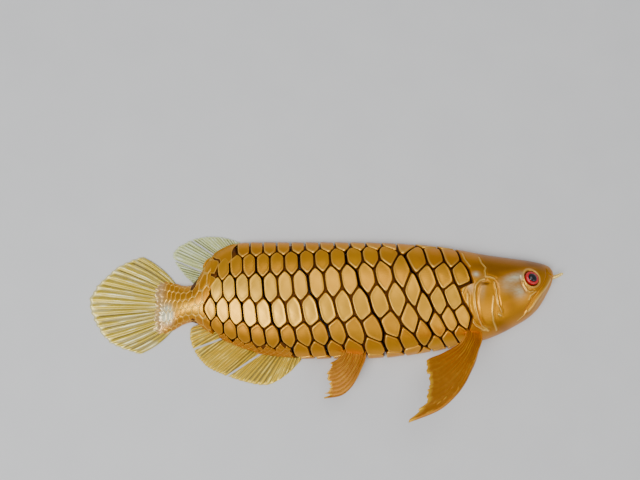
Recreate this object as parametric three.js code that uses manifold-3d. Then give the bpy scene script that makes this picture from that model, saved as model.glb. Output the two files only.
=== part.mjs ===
// Right half of a printed fish figure: flat back on the bed, scaled flank up.
// Millimetres. +X runs to the head, +Y to the back fin, +Z up from the flat back.
// The body is a chain of links that hinge about pins parallel to Y.
import * as THREE from 'three';
import { mergeVertices } from 'three/addons/utils/BufferGeometryUtils.js';
import Module from 'manifold-3d';

const wasm = await Module();
wasm.setup();

// Body stations along X: where the back and the belly meet the bed, and how high the flank rises
const STATIONS = [
  { x: -76, back: 15.5, belly: -10.0, high: 2.4 },
  { x: -71, back: 14.0, belly: -7.6, high: 5.0 },
  { x: -66, back: 12.8, belly: -4.8, high: 7.0 },
  { x: -61, back: 14.6, belly: -4.0, high: 8.2 },
  { x: -55, back: 25.5, belly: -8.0, high: 9.7 },
  { x: -48, back: 31.2, belly: -12.2, high: 11.4 },
  { x: -40, back: 33.8, belly: -15.6, high: 12.9 },
  { x: -28, back: 34.2, belly: -19.4, high: 14.6 },
  { x: -12, back: 34.2, belly: -21.1, high: 15.8 },
  { x: 10, back: 34.2, belly: -21.1, high: 16.6 },
  { x: 30, back: 33.9, belly: -20.8, high: 16.9 },
  { x: 50, back: 32.8, belly: -18.5, high: 16.9 },
  { x: 66, back: 30.8, belly: -15.6, high: 16.7 },
  { x: 80, back: 28.2, belly: -12.2, high: 16.1 },
  { x: 92, back: 26.5, belly: -6.8, high: 15.0 },
  { x: 102, back: 25.1, belly: -0.2, high: 12.6 },
  { x: 109, back: 23.5, belly: 9.6, high: 8.4 },
  { x: 111.2, back: 22.2, belly: 14.2, high: 5.8 },
  { x: 112.6, back: 19.6, belly: 16.4, high: 3.4 },
];
const TAIL_END = -76;
const SNOUT = 112.6;
const RING_STEP = 4.5;
const BODY_SIDES = 16;

// Scale plates
const PLATE = 1.6; // how far a plate stands over the core
const RIM_DROP = 0.45; // how much lower a plate's rim is than its middle
const PLATE_ROOT = 1.1; // how deep a plate is sunk in the core
const GROOVE = 0.95; // groove between two plates at mid body
const TAIL_GROOVE = 0.6; // and at the tail
const ROW_STEP = 26; // degrees round the flank from row to row
const ROW_3 = 94; // degrees of the row along the middle of the flank
const ROW_TILT = 0.25; // degrees that a row turns for each mm towards the tail
const CELL_STRETCH = 0.473; // mm of x that a mm round the flank counts for when cells are shared out
const CELL_LEAN = 0.17; // how far the cells lean to the head, for the belly half of the flank
const SCALES_START = -56;
const OFF_BED = 3; // degrees that the plates keep off the bed
const BACK_START = -53; // along the back the plates keep off the fin's root
const FIRST_COLUMN = [0.5, 0, -0.5, 0, 0.5, 3, 5.5]; // where the plates of each row begin
const COLUMN_LEAN = 1.5; // mm that a column leans forward for each row down, towards the head
const FAULT = 37.5; // the rows step by half a row here
const ROW_5_END = -25; // and the row next to the belly loses its step here
const FREE_SITES = [ // scales past these two, each with x and degrees round the flank
  [-18.1, 149.4], [-9.9, 147], [-2, 146.6], [5.6, 146.2], [14.1, 143.8], [23.9, 143], [32.8, 139.2], [38.9, 136.2],
  [39.5, 14], [52, -2], [61, -6], [69.5, -8], [44.3, 45], [52.8, 40.4], [61, 37.8], [69, 36],
  [40.9, 81.8], [48, 71.8], [55.6, 66.4], [63.8, 63.4], [71.5, 60], [46.1, 99.8], [52.4, 93.4], [59.1, 90.2], [66.5, 88],
  [39.5, 109.2], [46.2, 127.8], [52.1, 119.8], [57.6, 113.8], [63.7, 112.6], [70.5, 109],
  [52.9, 148], [58.8, 143.2], [64.2, 137.6], [70.5, 133], [42.6, 158.6], [48.5, 172], [56, 174], [63, 172], [70, 165],
];

// Links and hinges
const LINK_GAP = 0.95;
const HINGE = { barrel: 2.2, hole: 1.35, pin: 0.9, width: 7, side: 0.45, reach: 3.0, play: 0.5 };
const MESH_GAP = 0.3; // gap between two touching pieces

// Cuts between links: x on the middle row, mm that the cut moves towards the head for each row down,
// and the slots that carry it through the fins
const CUTS = [
  { x: -49.2, lean: 3.6, dorsal: [[-53.6, 18.8], [-56.3, 19.2], [-71.8, 25.5], [-77, 28.5]],
    ventral: [[-48.3, -12.1], [-60.1, -16.5], [-66, -19.5]] },
  { x: -36.9, lean: 3.6, dorsal: [[-51.5, 27.6], [-54.2, 29.0], [-64.1, 35.6], [-67, 38]],
    ventral: [[-28.0, -18.2], [-44.1, -28.8], [-50, -33]] },
  { x: -23.2, lean: 3.6, dorsal: [], ventral: [] },
  { x: -1.9, lean: 3.3, dorsal: [], ventral: [] },
  { x: 21.4, lean: 3.6, dorsal: [], ventral: [] },
  { x: 46.0, lean: 2.2, dorsal: [], ventral: [] },
];
const GILL_EDGE = [[69.1, 60], [69.1, 24], [67.7, 11], [67.3, 4], [68.0, -3], [70.6, -7], [73.5, -9.5], [74.0, -60]];

// Fins
const FIN = { web: 0.8, ridge: 0.45 };
const CAUDAL = {
  rays: 15,
  root: [[-71.5, 12.4], [-71.6, 9], [-71.6, 3.5], [-71.6, -1], [-71.5, -6.2]],
  rim: [[-87.9, 27.5], [-98, 23.3], [-104.9, 17.5], [-109.4, 12.2], [-112.5, 5.8], [-109.4, -2.4],
    [-105.8, -9.1], [-100.9, -13.8], [-93.6, -17.1], [-86.7, -19.2]],
  bow: 1.7,
};
const DORSAL = {
  rays: 17,
  root: [[-39.0, 31.5], [-45, 30.5], [-51, 28], [-54, 23], [-56, 19], [-59.5, 13]],
  rim: [[-40.2, 34.4], [-47.6, 36.6], [-52.5, 37.2], [-57.4, 37.1], [-63.2, 35.9], [-67, 34.1],
    [-70.4, 32.1], [-72.9, 28.5], [-71.6, 24.8], [-69, 20.9], [-66, 17.6], [-62.4, 14.3]],
  skew: 0,
};
const ANAL = {
  rays: 23,
  root: [[-9.5, -19], [-20, -18], [-28, -16.5], [-38, -13.5], [-48, -9.5], [-57, -3.5]],
  rim: [[-10.1, -22.3], [-16.2, -28.3], [-24.7, -33.3], [-31.8, -33.3], [-43.2, -30.2], [-47, -28.8],
    [-54.6, -25.1], [-60.5, -18.6], [-63.1, -11.6], [-62.6, -6.8], [-58.6, -5.2]],
  skew: 1.3,
};
const PECTORAL = {
  rays: 9,
  leading: [[73.6, -8.0, 9.5], [72.6, -12.4, 13.5], [69.0, -16.6, 19.0], [65.8, -20.8, 23.6], [61.7, -25.2, 27.9],
    [58.5, -28.9, 30.4], [54.4, -32.5, 33.0], [46.7, -37.7, 35.6], [33.2, -42.0, 38.6]],
  inner: [[66.5, -7.0, 11.0], [64.5, -11.5, 12.5], [61.5, -14.4, 13.4], [57.1, -16.4, 14.6], [52.8, -18.2, 15.7],
    [48.6, -19.4, 17.0], [45.3, -20.8, 17.9]],
  bulge: -3.5, // how far the ray ends bow out between tip and corner, less than nothing is inward
  web: 1.0,
  ridge: 0.5,
};
const PELVIC = {
  rays: 7,
  leading: [[20.6, -17.5, 5.0], [20.2, -20.8, 6.2], [18.1, -25.0, 8.4], [15.6, -29.4, 10.4], [12.3, -33.5, 12.2],
    [8.2, -36.2, 13.4], [0.6, -37.3, 14.4]],
  inner: [[10.0, -16.5, 7.5], [8.6, -19.2, 8.6], [6.0, -21.0, 10.0], [3.2, -22.2, 11.4]],
  bulge: 2.2,
  web: 0.9,
  ridge: 0.4,
};

// Head
const EYE = { x: 97.2, y: 16.1, socket: 4.4, ring: 3.15, pupil: 2.05, rise: 0.9, sink: 2.0 };
const BARBEL = { root: [110.8, 16.6, 1.8], tip: [115.7, 18.8, 6.2], thick: 0.95, thin: 0.5 };

// Colours
const GOLD = { color: '#b8860f', roughness: 0.34, metalness: 0.15 };
const AMBER = { color: '#b57a08', roughness: 0.36, metalness: 0.12 };
const PALE = { color: '#c9b468', roughness: 0.36, metalness: 0.1 };
const CLEAR = { color: '#c8c79a', roughness: 0.38, metalness: 0.05 };
const RED = { color: '#c01418', roughness: 0.25, metalness: 0 };
const BLACK = { color: '#0c0c0c', roughness: 0.15, metalness: 0 };

const DEG = Math.PI / 180;
const FINEST = 0.003; // edges of the plated links shorter than this are closed up

// Smooth curve of one quantity over the stations, with slopes from the neighbours
function overStations(key) {
  const slope = STATIONS.map((s, i) => {
    const a = STATIONS[Math.max(i - 1, 0)];
    const b = STATIONS[Math.min(i + 1, STATIONS.length - 1)];
    return (b[key] - a[key]) / (b.x - a.x);
  });
  return (x) => {
    const last = STATIONS.length - 2;
    let i = STATIONS.findIndex((s) => s.x > x) - 1;
    if (i < 0) i = x <= STATIONS[0].x ? 0 : last;
    const a = STATIONS[i];
    const b = STATIONS[i + 1];
    const w = b.x - a.x;
    const u = THREE.MathUtils.clamp((x - a.x) / w, 0, 1);
    const u2 = u * u;
    const u3 = u2 * u;
    return (2 * u3 - 3 * u2 + 1) * a[key] + (u3 - 2 * u2 + u) * w * slope[i]
      + (3 * u2 - 2 * u3) * b[key] + (u3 - u2) * w * slope[i + 1];
  };
}
const backAt = overStations('back');
const bellyAt = overStations('belly');
const highAt = overStations('high');

// A point of the flank: t is 0 at the back, 90 on top and 180 at the belly; depth is under the outer skin
function flank(x, t, depth = 0) {
  const middle = (backAt(x) + bellyAt(x)) / 2;
  const half = (backAt(x) - bellyAt(x)) / 2;
  const angle = t * DEG;
  return new THREE.Vector3(x, middle + (half - depth) * Math.cos(angle), (highAt(x) - depth) * Math.sin(angle));
}

// Millimetres along the flank for one degree of t
function mmPerDegree(x, t) {
  const half = (backAt(x) - bellyAt(x)) / 2;
  const angle = t * DEG;
  return DEG * Math.hypot(half * Math.sin(angle), highAt(x) * Math.cos(angle));
}

// Closed geometry from points and index triples
function meshFrom(points, faces) {
  const geometry = new THREE.BufferGeometry();
  geometry.setAttribute('position', new THREE.Float32BufferAttribute(points.flatMap((p) => [p.x, p.y, p.z]), 3));
  geometry.setIndex(faces.flat());
  return geometry;
}

function toSolid(geometry) {
  const bare = geometry.clone();
  bare.deleteAttribute('normal');
  bare.deleteAttribute('uv');
  const merged = mergeVertices(bare, 1e-4);
  const vertProperties = new Float32Array(merged.attributes.position.array);
  const corners = merged.index.array;
  const kept = [];
  for (let i = 0; i < corners.length; i += 3) {
    const [a, b, c] = corners.slice(i, i + 3);
    if (a !== b && b !== c && c !== a) kept.push(a, b, c);
  }
  const triVerts = new Uint32Array(kept);
  return new wasm.Manifold(new wasm.Mesh({ numProp: 3, vertProperties, triVerts }));
}

// Only the largest closed surface of a solid is kept
function largest(solid) {
  return solid.decompose().reduce((best, piece) => (piece.volume() > best.volume() ? piece : best));
}

function toGeometry(solid) {
  const mesh = largest(solid).getMesh();
  const geometry = new THREE.BufferGeometry();
  geometry.setAttribute('position', new THREE.BufferAttribute(new Float32Array(mesh.vertProperties), 3));
  geometry.setIndex(new THREE.BufferAttribute(new Uint32Array(mesh.triVerts), 1));
  geometry.computeVertexNormals();
  return geometry;
}

const joined = (solids) => solids.reduce((all, solid) => all.add(solid));

// Body blank between two x values: half-oval rings on a flat back, at the same places in every blank
function blank(x0, x1, depthAt) {
  const around = BODY_SIDES;
  const rings = [x0];
  for (let x = Math.ceil((x0 + 0.5) / RING_STEP) * RING_STEP; x < x1 - 0.5; x += RING_STEP) rings.push(x);
  rings.push(x1);
  const ringCount = rings.length;
  const points = [];
  const faces = [];
  rings.forEach((x) => {
    for (let k = 0; k <= around; k += 1) points.push(flank(x, (180 * k) / around, depthAt(x)));
  });
  const ring = around + 1;
  for (let i = 0; i < ringCount - 1; i += 1) {
    for (let k = 0; k < ring; k += 1) {
      const next = (k + 1) % ring;
      const a = i * ring + k;
      const b = i * ring + next;
      faces.push([a, b, b + ring], [a, b + ring, a + ring]);
    }
  }
  const end = (ringCount - 1) * ring;
  for (let k = 1; k < around; k += 1) {
    faces.push([0, k + 1, k], [end, end + k, end + k + 1]);
  }
  return toSolid(meshFrom(points, faces));
}

// Scale centres, row by row. Each has its x, its t and whether a plate is built on it
function columnX(c) {
  return -52.1 + 6 * c + 0.105 * c * (c - 1);
}
function rowShift(x) {
  return ROW_TILT * (20 - x) * (x < 20 ? 1 : 1.1);
}
const sites = [];
for (let row = 0; row <= 6; row += 1) {
  for (let c = row % 2 === 0 ? -2.5 : -2; c <= 13; c += 1) {
    const x = columnX(c) + (COLUMN_LEAN * (row - 3) * (columnX(c) - columnX(0))) / 80;
    if (x > (row === 5 ? ROW_5_END : FAULT - 1)) continue;
    sites.push({ x, t: ROW_3 + ROW_STEP * (row - 3) + rowShift(x), plate: c >= FIRST_COLUMN[row] });
  }
}
FREE_SITES.forEach(([x, t]) => sites.push({ x, t, plate: true }));

// Cells are shared out on a flat map: its X is x less the lean of the cells, its T the way round the flank
function leanAt(X, t) {
  const low = Math.max(0.8 - Math.cos(THREE.MathUtils.clamp(t, 0, 180) * DEG), 0);
  const share = THREE.MathUtils.mapLinear(THREE.MathUtils.smoothstep(X, -50, 50), 0, 1, 0.2, 1);
  return (CELL_LEAN * share * (backAt(X) - bellyAt(X)) * low ** 2) / 2;
}
const mapScale = (X) => (CELL_STRETCH * DEG * (backAt(X) - bellyAt(X))) / 2;
sites.forEach((site) => {
  site.X = site.x;
  for (let k = 0; k < 30; k += 1) site.X = site.x - leanAt(site.X, site.t);
  site.T = (site.t - ROW_3) * mapScale(site.X);
});
function offMap(p) {
  const t = THREE.MathUtils.clamp(ROW_3 + p.t / mapScale(p.x), 0, 180);
  return { x: p.x + leanAt(p.x, t), t, edge: p.edge };
}

// Cuts off the part of a polygon beyond a line; each corner keeps the name of the edge that leaves it
function clip(polygon, distance, name) {
  const kept = [];
  polygon.forEach((p, i) => {
    const q = polygon[(i + 1) % polygon.length];
    const dp = distance(p);
    const dq = distance(q);
    if (dp <= 0) kept.push(p);
    if (dp <= 0 !== dq <= 0) {
      const u = dp / (dp - dq);
      const cross = { x: p.x + (q.x - p.x) * u, t: p.t + (q.t - p.t) * u };
      cross.edge = dp <= 0 ? name : p.edge;
      kept.push(cross);
    }
  });
  return kept;
}

// The share of the flank nearest to one scale, shrunk by an inset in mm
function cell(site, inset) {
  const reach = 25;
  let polygon = [
    { x: site.X - 14, t: site.T - reach, edge: 'back' }, { x: site.X + 14, t: site.T - reach, edge: 'front' },
    { x: site.X + 14, t: site.T + reach, edge: 'belly' }, { x: site.X - 14, t: site.T + reach, edge: 'rear' },
  ];
  const mm = mmPerDegree(site.x, site.t);
  const lean = leanAt(site.X, site.t + 0.5) - leanAt(site.X, site.t - 0.5);
  sites.forEach((other) => {
    const dx = other.X - site.X;
    const dt = other.T - site.T;
    if (other === site || Math.abs(dx) > 22 || Math.abs(dt) > 18) return;
    const length = Math.hypot(dx, (dt * mapScale(site.X) - dx * lean) / mm);
    const middle = (dx * (site.X + other.X) + dt * (site.T + other.T)) / 2;
    polygon = clip(polygon, (p) => (dx * p.x + dt * p.t - middle) / length + inset, other);
  });
  if (inset > 0) {
    const scale = mapScale(site.X);
    polygon = clip(polygon, (p) => p.t - (180 - OFF_BED - ROW_3) * scale, 'belly');
    polygon = clip(polygon, (p) => (OFF_BED - ROW_3) * scale - p.t, 'back');
  }
  return polygon.map(offMap);
}

function grooveAt(x) {
  return THREE.MathUtils.mapLinear(THREE.MathUtils.smoothstep(x, -52, -10), 0, 1, TAIL_GROOVE, GROOVE);
}

// A plate: a sunk foot, a rim at the groove and a raised middle
function plateSolid(outline, lift = 0, rimDrop = RIM_DROP, root = PLATE + PLATE_ROOT) {
  const corners = [];
  outline.forEach((p, i) => {
    const q = outline[(i + 1) % outline.length];
    corners.push(p);
    const span = Math.hypot(q.x - p.x, (q.t - p.t) * mmPerDegree(p.x, p.t));
    if (span > 8) corners.push({ x: (p.x + q.x) / 2, t: (p.t + q.t) / 2 });
  });
  const n = corners.length;
  const cx = corners.reduce((sum, p) => sum + p.x, 0) / n;
  const ct = corners.reduce((sum, p) => sum + p.t, 0) / n;
  const inner = corners.map((p) => ({ x: THREE.MathUtils.lerp(cx, p.x, 0.72), t: THREE.MathUtils.lerp(ct, p.t, 0.72) }));
  const points = [
    ...corners.map((p) => flank(p.x, p.t, root)),
    ...corners.map((p) => flank(p.x, p.t, rimDrop - lift)),
    ...inner.map((p) => flank(p.x, p.t, -lift)),
    flank(cx, ct, root),
    flank(cx, ct, -lift),
  ];
  const faces = [];
  for (let i = 0; i < n; i += 1) {
    const j = (i + 1) % n;
    faces.push([i, i + n, j + n], [i, j + n, j]);
    faces.push([i + n, i + 2 * n, j + 2 * n], [i + n, j + 2 * n, j + n]);
    faces.push([3 * n, i, j], [3 * n + 1, j + 2 * n, i + 2 * n]);
  }
  return toSolid(meshFrom(points, faces));
}

// Which link a scale belongs to: the number of cuts behind it
const cutLine = (cut, x, t) => cut.x + (cut.lean * (t - ROW_3 - rowShift(Math.min(x, 36)))) / ROW_STEP;
sites.forEach((site) => {
  site.linkNo = CUTS.filter((cut) => site.x > cutLine(cut, site.x, site.t)).length;
});

// The path of one cut in plan, from past the back fin to past the belly fin
function cutPath(cut, index) {
  const edges = [];
  sites.forEach((site) => {
    if (site.linkNo > index) return;
    const polygon = cell(site, 0);
    polygon.forEach((p, i) => {
      const other = p.edge;
      if (typeof other === 'string' || other.linkNo <= index) return;
      const q = polygon[(i + 1) % polygon.length];
      edges.push([p, q]);
    });
  });
  const apart = (p, q) => Math.hypot(p.x - q.x, (p.t - q.t) * 0.3);
  const walk = [edges.flat().reduce((first, p) => (p.t < first.t ? p : first))];
  while (edges.length) {
    const here = walk[walk.length - 1];
    const reach = edges.map(([p, q]) => Math.min(apart(p, here), apart(q, here)));
    const nearest = reach.indexOf(Math.min(...reach));
    const [p, q] = edges.splice(nearest, 1)[0];
    if (reach[nearest] > 0.3) break;
    const next = apart(p, here) < apart(q, here) ? q : p;
    if (apart(next, here) > 0.2) walk.push(next);
  }
  let plan = walk.map((p) => {
    const point = flank(p.x, p.t, PLATE / 2);
    return [point.x, point.y];
  });
  plan = plan.filter((p, i) => i === 0 || Math.hypot(p[0] - plan[i - 1][0], p[1] - plan[i - 1][1]) > 0.7);
  const past = (slot, sign) => (slot.length ? plan.filter((p) => (p[1] - slot[0][1]) * sign < -1.2) : plan);
  plan = past(cut.dorsal, 1).filter((p) => !cut.dorsal.length || p[0] > cut.dorsal[0][0] - 1.5);
  plan = past(cut.ventral, -1);
  const top = cut.dorsal.length ? cut.dorsal : [[plan[0][0], plan[0][1] + 3]];
  const low = cut.ventral.length ? cut.ventral : [[plan[plan.length - 1][0], plan[plan.length - 1][1] - 3]];
  const head = top[top.length - 1];
  const foot = low[low.length - 1];
  return [[head[0] - (cut.dorsal.length ? 2 : 0), 70], ...[...top].reverse(), ...plan, ...low,
    [foot[0] - (cut.ventral.length ? 2 : 0), -70]];
}

// A path moved sideways by a distance, with mitred corners
function sideways(path, distance) {
  const normals = path.slice(1).map((q, i) => {
    const dx = q[0] - path[i][0];
    const dy = q[1] - path[i][1];
    const length = Math.hypot(dx, dy);
    return [-dy / length, dx / length];
  });
  return path.map((p, i) => {
    const a = normals[Math.max(i - 1, 0)];
    const b = normals[Math.min(i, normals.length - 1)];
    const scale = distance / Math.max(1 + a[0] * b[0] + a[1] * b[1], 0.5);
    return [p[0] + (a[0] + b[0]) * scale, p[1] + (a[1] + b[1]) * scale];
  });
}

// Upright prism over a closed plan outline, less the points that lie on a straight run
function prism(plan, z0, z1) {
  const corners = plan.filter((p, i) => {
    const a = plan[(i + plan.length - 1) % plan.length];
    const b = plan[(i + 1) % plan.length];
    return Math.abs((p[0] - a[0]) * (b[1] - a[1]) - (p[1] - a[1]) * (b[0] - a[0])) > 0.02;
  });
  const shape = new THREE.Shape(corners.map((p) => new THREE.Vector2(p[0], p[1])));
  const geometry = new THREE.ExtrudeGeometry(shape, { depth: z1 - z0, bevelEnabled: false });
  return toSolid(geometry.translate(0, 0, z0));
}

function boxSolid(x0, x1, y0, y1, z0, z1) {
  const geometry = new THREE.BoxGeometry(x1 - x0, y1 - y0, z1 - z0);
  return toSolid(geometry.translate((x0 + x1) / 2, (y0 + y1) / 2, (z0 + z1) / 2));
}

function rodAlongY(x, y, z, radius, length, sides) {
  const geometry = new THREE.CylinderGeometry(radius, radius, length, sides);
  return toSolid(geometry.translate(x, y, z));
}

const cutPaths = CUTS.map(cutPath);
const rearEnd = [[-140, 70], [-140, -70]];
const gillPath = GILL_EDGE;

// Plan outline between two paths, each kept clear by half a gap
function between(left, right, gapLeft, gapRight) {
  const a = left === rearEnd ? rearEnd : sideways(left, gapLeft / 2);
  const b = sideways(right, -gapRight / 2);
  return [...a, ...[...b].reverse()];
}

const borders = [rearEnd, ...cutPaths, gillPath];
const linkPlans = borders.slice(1).map((right, i) => between(borders[i], right,
  LINK_GAP, right === gillPath ? MESH_GAP : LINK_GAP));

// Where a cut crosses the line y
function crossing(path, y) {
  for (let i = 1; i < path.length; i += 1) {
    const [p, q] = [path[i - 1], path[i]];
    if ((p[1] - y) * (q[1] - y) <= 0 && p[1] !== q[1]) return p[0] + ((q[0] - p[0]) * (y - p[1])) / (q[1] - p[1]);
  }
  return NaN;
}
// Each hinge lies a little ahead of its cut, half way between back and belly
const hinges = CUTS.map((cut, i) => {
  const y = (backAt(cut.x) + bellyAt(cut.x)) / 2 - 1.5;
  const edges = [y - HINGE.width / 2, y, y + HINGE.width / 2].map((at) => crossing(cutPaths[i], at));
  return { x: Math.max(...edges) + HINGE.reach, y, z: HINGE.barrel, low: Math.min(...edges) };
});

// The tongue of a hinge grows from the link behind; the pocket and its pin are in the link ahead
function tongue(hinge) {
  const [y0, y1] = [hinge.y - HINGE.width / 2, hinge.y + HINGE.width / 2];
  const neck = boxSolid(hinge.low - 3.5, hinge.x, y0, y1, 0, 2 * HINGE.barrel - 0.5);
  const barrel = rodAlongY(hinge.x, hinge.y, hinge.z, HINGE.barrel, HINGE.width, 20);
  return neck.add(barrel).subtract(rodAlongY(hinge.x, hinge.y, hinge.z, HINGE.hole, HINGE.width + 2, 16));
}
function pocket(hinge) {
  const half = HINGE.width / 2 + HINGE.side;
  const roof = hinge.z + HINGE.barrel + HINGE.play;
  const room = boxSolid(hinge.low - 4, hinge.x + HINGE.barrel + HINGE.play, hinge.y - half, hinge.y + half, -1, roof);
  const pin = rodAlongY(hinge.x, hinge.y, hinge.z, HINGE.pin, 2 * half + 3, 12);
  return { room, pin };
}

// One link: core and plates inside its plan, with its hinge halves
const coreDepth = (x) => PLATE * THREE.MathUtils.smoothstep(x, SCALES_START - 3, SCALES_START + 3);
const core = blank(TAIL_END, 76, coreDepth);
function linkSolid(index) {
  const plan = prism(linkPlans[index], 0, 40);
  const plates = sites.filter((s) => s.plate && s.linkNo === index)
    .map((s) => cell(s, grooveAt(s.x) / 2))
    .filter((outline) => outline.length > 2)
    .map((outline) => outline.map((p) => ({
      x: Math.max(p.x, p.t < 45 ? BACK_START : SCALES_START - 1.5),
      t: THREE.MathUtils.clamp(p.t, OFF_BED, 180 - OFF_BED),
    })).filter((p, i, list) => {
      const before = list[(i + list.length - 1) % list.length];
      return Math.hypot(p.x - before.x, (p.t - before.t) * 0.3) > 0.1;
    }))
    .map((outline) => plateSolid(outline));
  let solid = joined([core, ...plates]).intersect(plan);
  if (index > 0) {
    const { room, pin } = pocket(hinges[index - 1]);
    solid = solid.subtract(room).add(pin.intersect(plan));
  }
  if (index < CUTS.length) solid = solid.add(tongue(hinges[index]));
  return index > 2 ? largest(solid).simplify(FINEST) : solid;
}

// A thin sheet from its lower and upper face, with the same diagonals on both
function sheet(lower, upper, across, along) {
  const points = [];
  const faces = [];
  const at = (i, j) => i * (along + 1) + j;
  const top = (across + 1) * (along + 1);
  [lower, upper].forEach((face) => {
    for (let i = 0; i <= across; i += 1) {
      for (let j = 0; j <= along; j += 1) points.push(face(i / across, j / along, i));
    }
  });
  for (let i = 0; i < across; i += 1) {
    for (let j = 0; j < along; j += 1) {
      const [a, b, c, d] = [at(i, j), at(i + 1, j), at(i + 1, j + 1), at(i, j + 1)];
      faces.push([a, b, c], [a, c, d], [top + a, top + c, top + b], [top + a, top + d, top + c]);
    }
  }
  const wall = (a, b) => faces.push([b, a, top + a], [b, top + a, top + b]);
  for (let i = 0; i < across; i += 1) {
    wall(at(i, 0), at(i + 1, 0));
    wall(at(i + 1, along), at(i, along));
  }
  for (let j = 0; j < along; j += 1) {
    wall(at(0, j + 1), at(0, j));
    wall(at(across, j), at(across, j + 1));
  }
  return meshFrom(points, faces);
}

// Turns a sheet's faces out if they point in
function outward(geometry) {
  const solid = toSolid(geometry);
  if (solid.volume() > 0) return solid;
  const index = geometry.index.array;
  for (let i = 0; i < index.length; i += 3) [index[i + 1], index[i + 2]] = [index[i + 2], index[i + 1]];
  return toSolid(geometry);
}

const smoothPath = (list) => new THREE.CatmullRomCurve3(
  list.map((p) => new THREE.Vector3(p[0], p[1], p[2] ?? 0)), false, 'centripetal');

// A fin that lies on the bed, with a ridge along each ray
function flatFin({ rays, root, rim, bow = 0, skew = 0 }) {
  const rootPath = smoothPath(root);
  const rimPath = smoothPath(rim);
  const across = 2 * rays;
  const place = (a, b) => {
    const warp = THREE.MathUtils.clamp(a + skew * a * (1 - a) * Math.max(0.77 - a, 0), 0, 1);
    const start = rootPath.getPointAt(a);
    const end = rimPath.getPointAt(warp);
    const point = start.clone().lerp(end, b);
    const side = 2 * a - 1;
    const out = new THREE.Vector3(end.y - start.y, start.x - end.x, 0).normalize();
    return point.addScaledVector(out, -4 * bow * b * (1 - b) * side * Math.abs(side));
  };
  const upper = (a, b, i) => {
    const point = place(a, b);
    const ridge = i % 2 === 1 ? FIN.ridge : 0;
    point.z = FIN.web + ridge * (1 - 0.4 * b);
    return point;
  };
  return outward(sheet(place, upper, across, 4));
}

// A fin that stands off the flank: rays run from the root to a bowed edge of ray ends
function raisedFin({ rays, leading, inner, bulge, web, ridge }) {
  const leadPath = smoothPath(leading);
  const innerPath = smoothPath(inner);
  const across = 2 * rays;
  const along = 6;
  const middle = (a, b) => {
    const point = leadPath.getPointAt(b).lerp(innerPath.getPointAt(b), a);
    const outwardRay = leadPath.getTangentAt(b).lerp(innerPath.getTangentAt(b), a).normalize();
    return point.addScaledVector(outwardRay, bulge * 4 * a * (1 - a) * b * b);
  };
  const step = 0.02;
  const normal = (a, b) => {
    const da = middle(Math.min(a + step, 1), b).sub(middle(Math.max(a - step, 0), b));
    const db = middle(a, Math.min(b + step, 1)).sub(middle(a, Math.max(b - step, 0)));
    return da.cross(db).normalize();
  };
  const face = (sign) => (a, b, i) => {
    const half = (web + (i % 2 === 1 ? ridge : 0)) / 2;
    return middle(a, b).addScaledVector(normal(a, b), sign * half * (1 - 0.3 * b));
  };
  return outward(sheet(face(-1), face(1), across, along));
}

// What a fin must keep clear of: the body swollen by the mesh gap, down past the bed
const swollen = blank(TAIL_END - MESH_GAP, SNOUT, () => -MESH_GAP);
const clearBody = swollen.add(swollen.translate([0, 0, -1]));

function finPiece(fin, index) {
  return fin.intersect(prism(linkPlans[index], -1, 60)).subtract(clearBody);
}

// The head ahead of the gill edge, with its raised covers
const headPlan = [...sideways(gillPath, MESH_GAP / 2), [130, -60], [130, 60]];
const region = (corners) => corners.map(([x, t]) => ({ x, t }));
const COVERS = [
  { lift: 0.75, outline: [[69.5, 48], [68.8, 80], [68.9, 105], [70.2, 122], [73.5, 131], [79, 134], [84, 124], [85.2, 100],
    [84.5, 76], [80.5, 58], [74.5, 49]] },
  { lift: 0.35, outline: [[86.4, 70], [86.6, 96], [85.8, 120], [82, 136], [90, 145], [97, 138], [100, 118], [99, 98],
    [94, 84]] },
];
const MOUTH = [[113.6, 17.6], [111.6, 15.9], [107.2, 11.0], [103.6, 6.2], [100.4, 0.6], [99.9, 1.1], [102.9, 6.8],
  [106.5, 11.8], [111.0, 16.8]];
function headSolid() {
  const skull = blank(60, SNOUT, () => 0.15);
  const covers = COVERS.map(({ lift, outline }) => plateSolid(region(outline), lift, lift + 0.05, 2));
  const frame = eyeFrame();
  const rim = turned([[0, -3], [EYE.socket, -3], [EYE.socket, 0.1], [EYE.socket - 0.5, EYE.rise], [0, EYE.rise]], frame);
  const well = turned([[0, -EYE.sink], [EYE.ring + MESH_GAP, -EYE.sink], [EYE.ring + MESH_GAP, 3], [0, 3]], frame);
  const mouth = prism(MOUTH, 1.2, 30);
  return joined([skull, ...covers, rim]).intersect(prism(headPlan, 0, 40)).subtract(well).subtract(mouth)
    .subtract(barbelSolid(MESH_GAP));
}

// The eye looks along the flank's outward direction at its place
function eyeFrame() {
  const middle = (backAt(EYE.x) + bellyAt(EYE.x)) / 2;
  const half = (backAt(EYE.x) - bellyAt(EYE.x)) / 2;
  const t = Math.acos((EYE.y - middle) / half) / DEG;
  const along = flank(EYE.x + 1, t).sub(flank(EYE.x - 1, t));
  const round = flank(EYE.x, t + 1).sub(flank(EYE.x, t - 1));
  const out = round.cross(along).normalize();
  if (out.z < 0) out.negate();
  const turn = new THREE.Quaternion().setFromUnitVectors(new THREE.Vector3(0, 1, 0), out);
  return new THREE.Matrix4().compose(flank(EYE.x, t), turn, new THREE.Vector3(1, 1, 1));
}
function turned(profile, frame) {
  const geometry = new THREE.LatheGeometry(profile.map((p) => new THREE.Vector2(p[0], p[1])), 24);
  return outward(geometry).transform(frame.elements);
}

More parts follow.
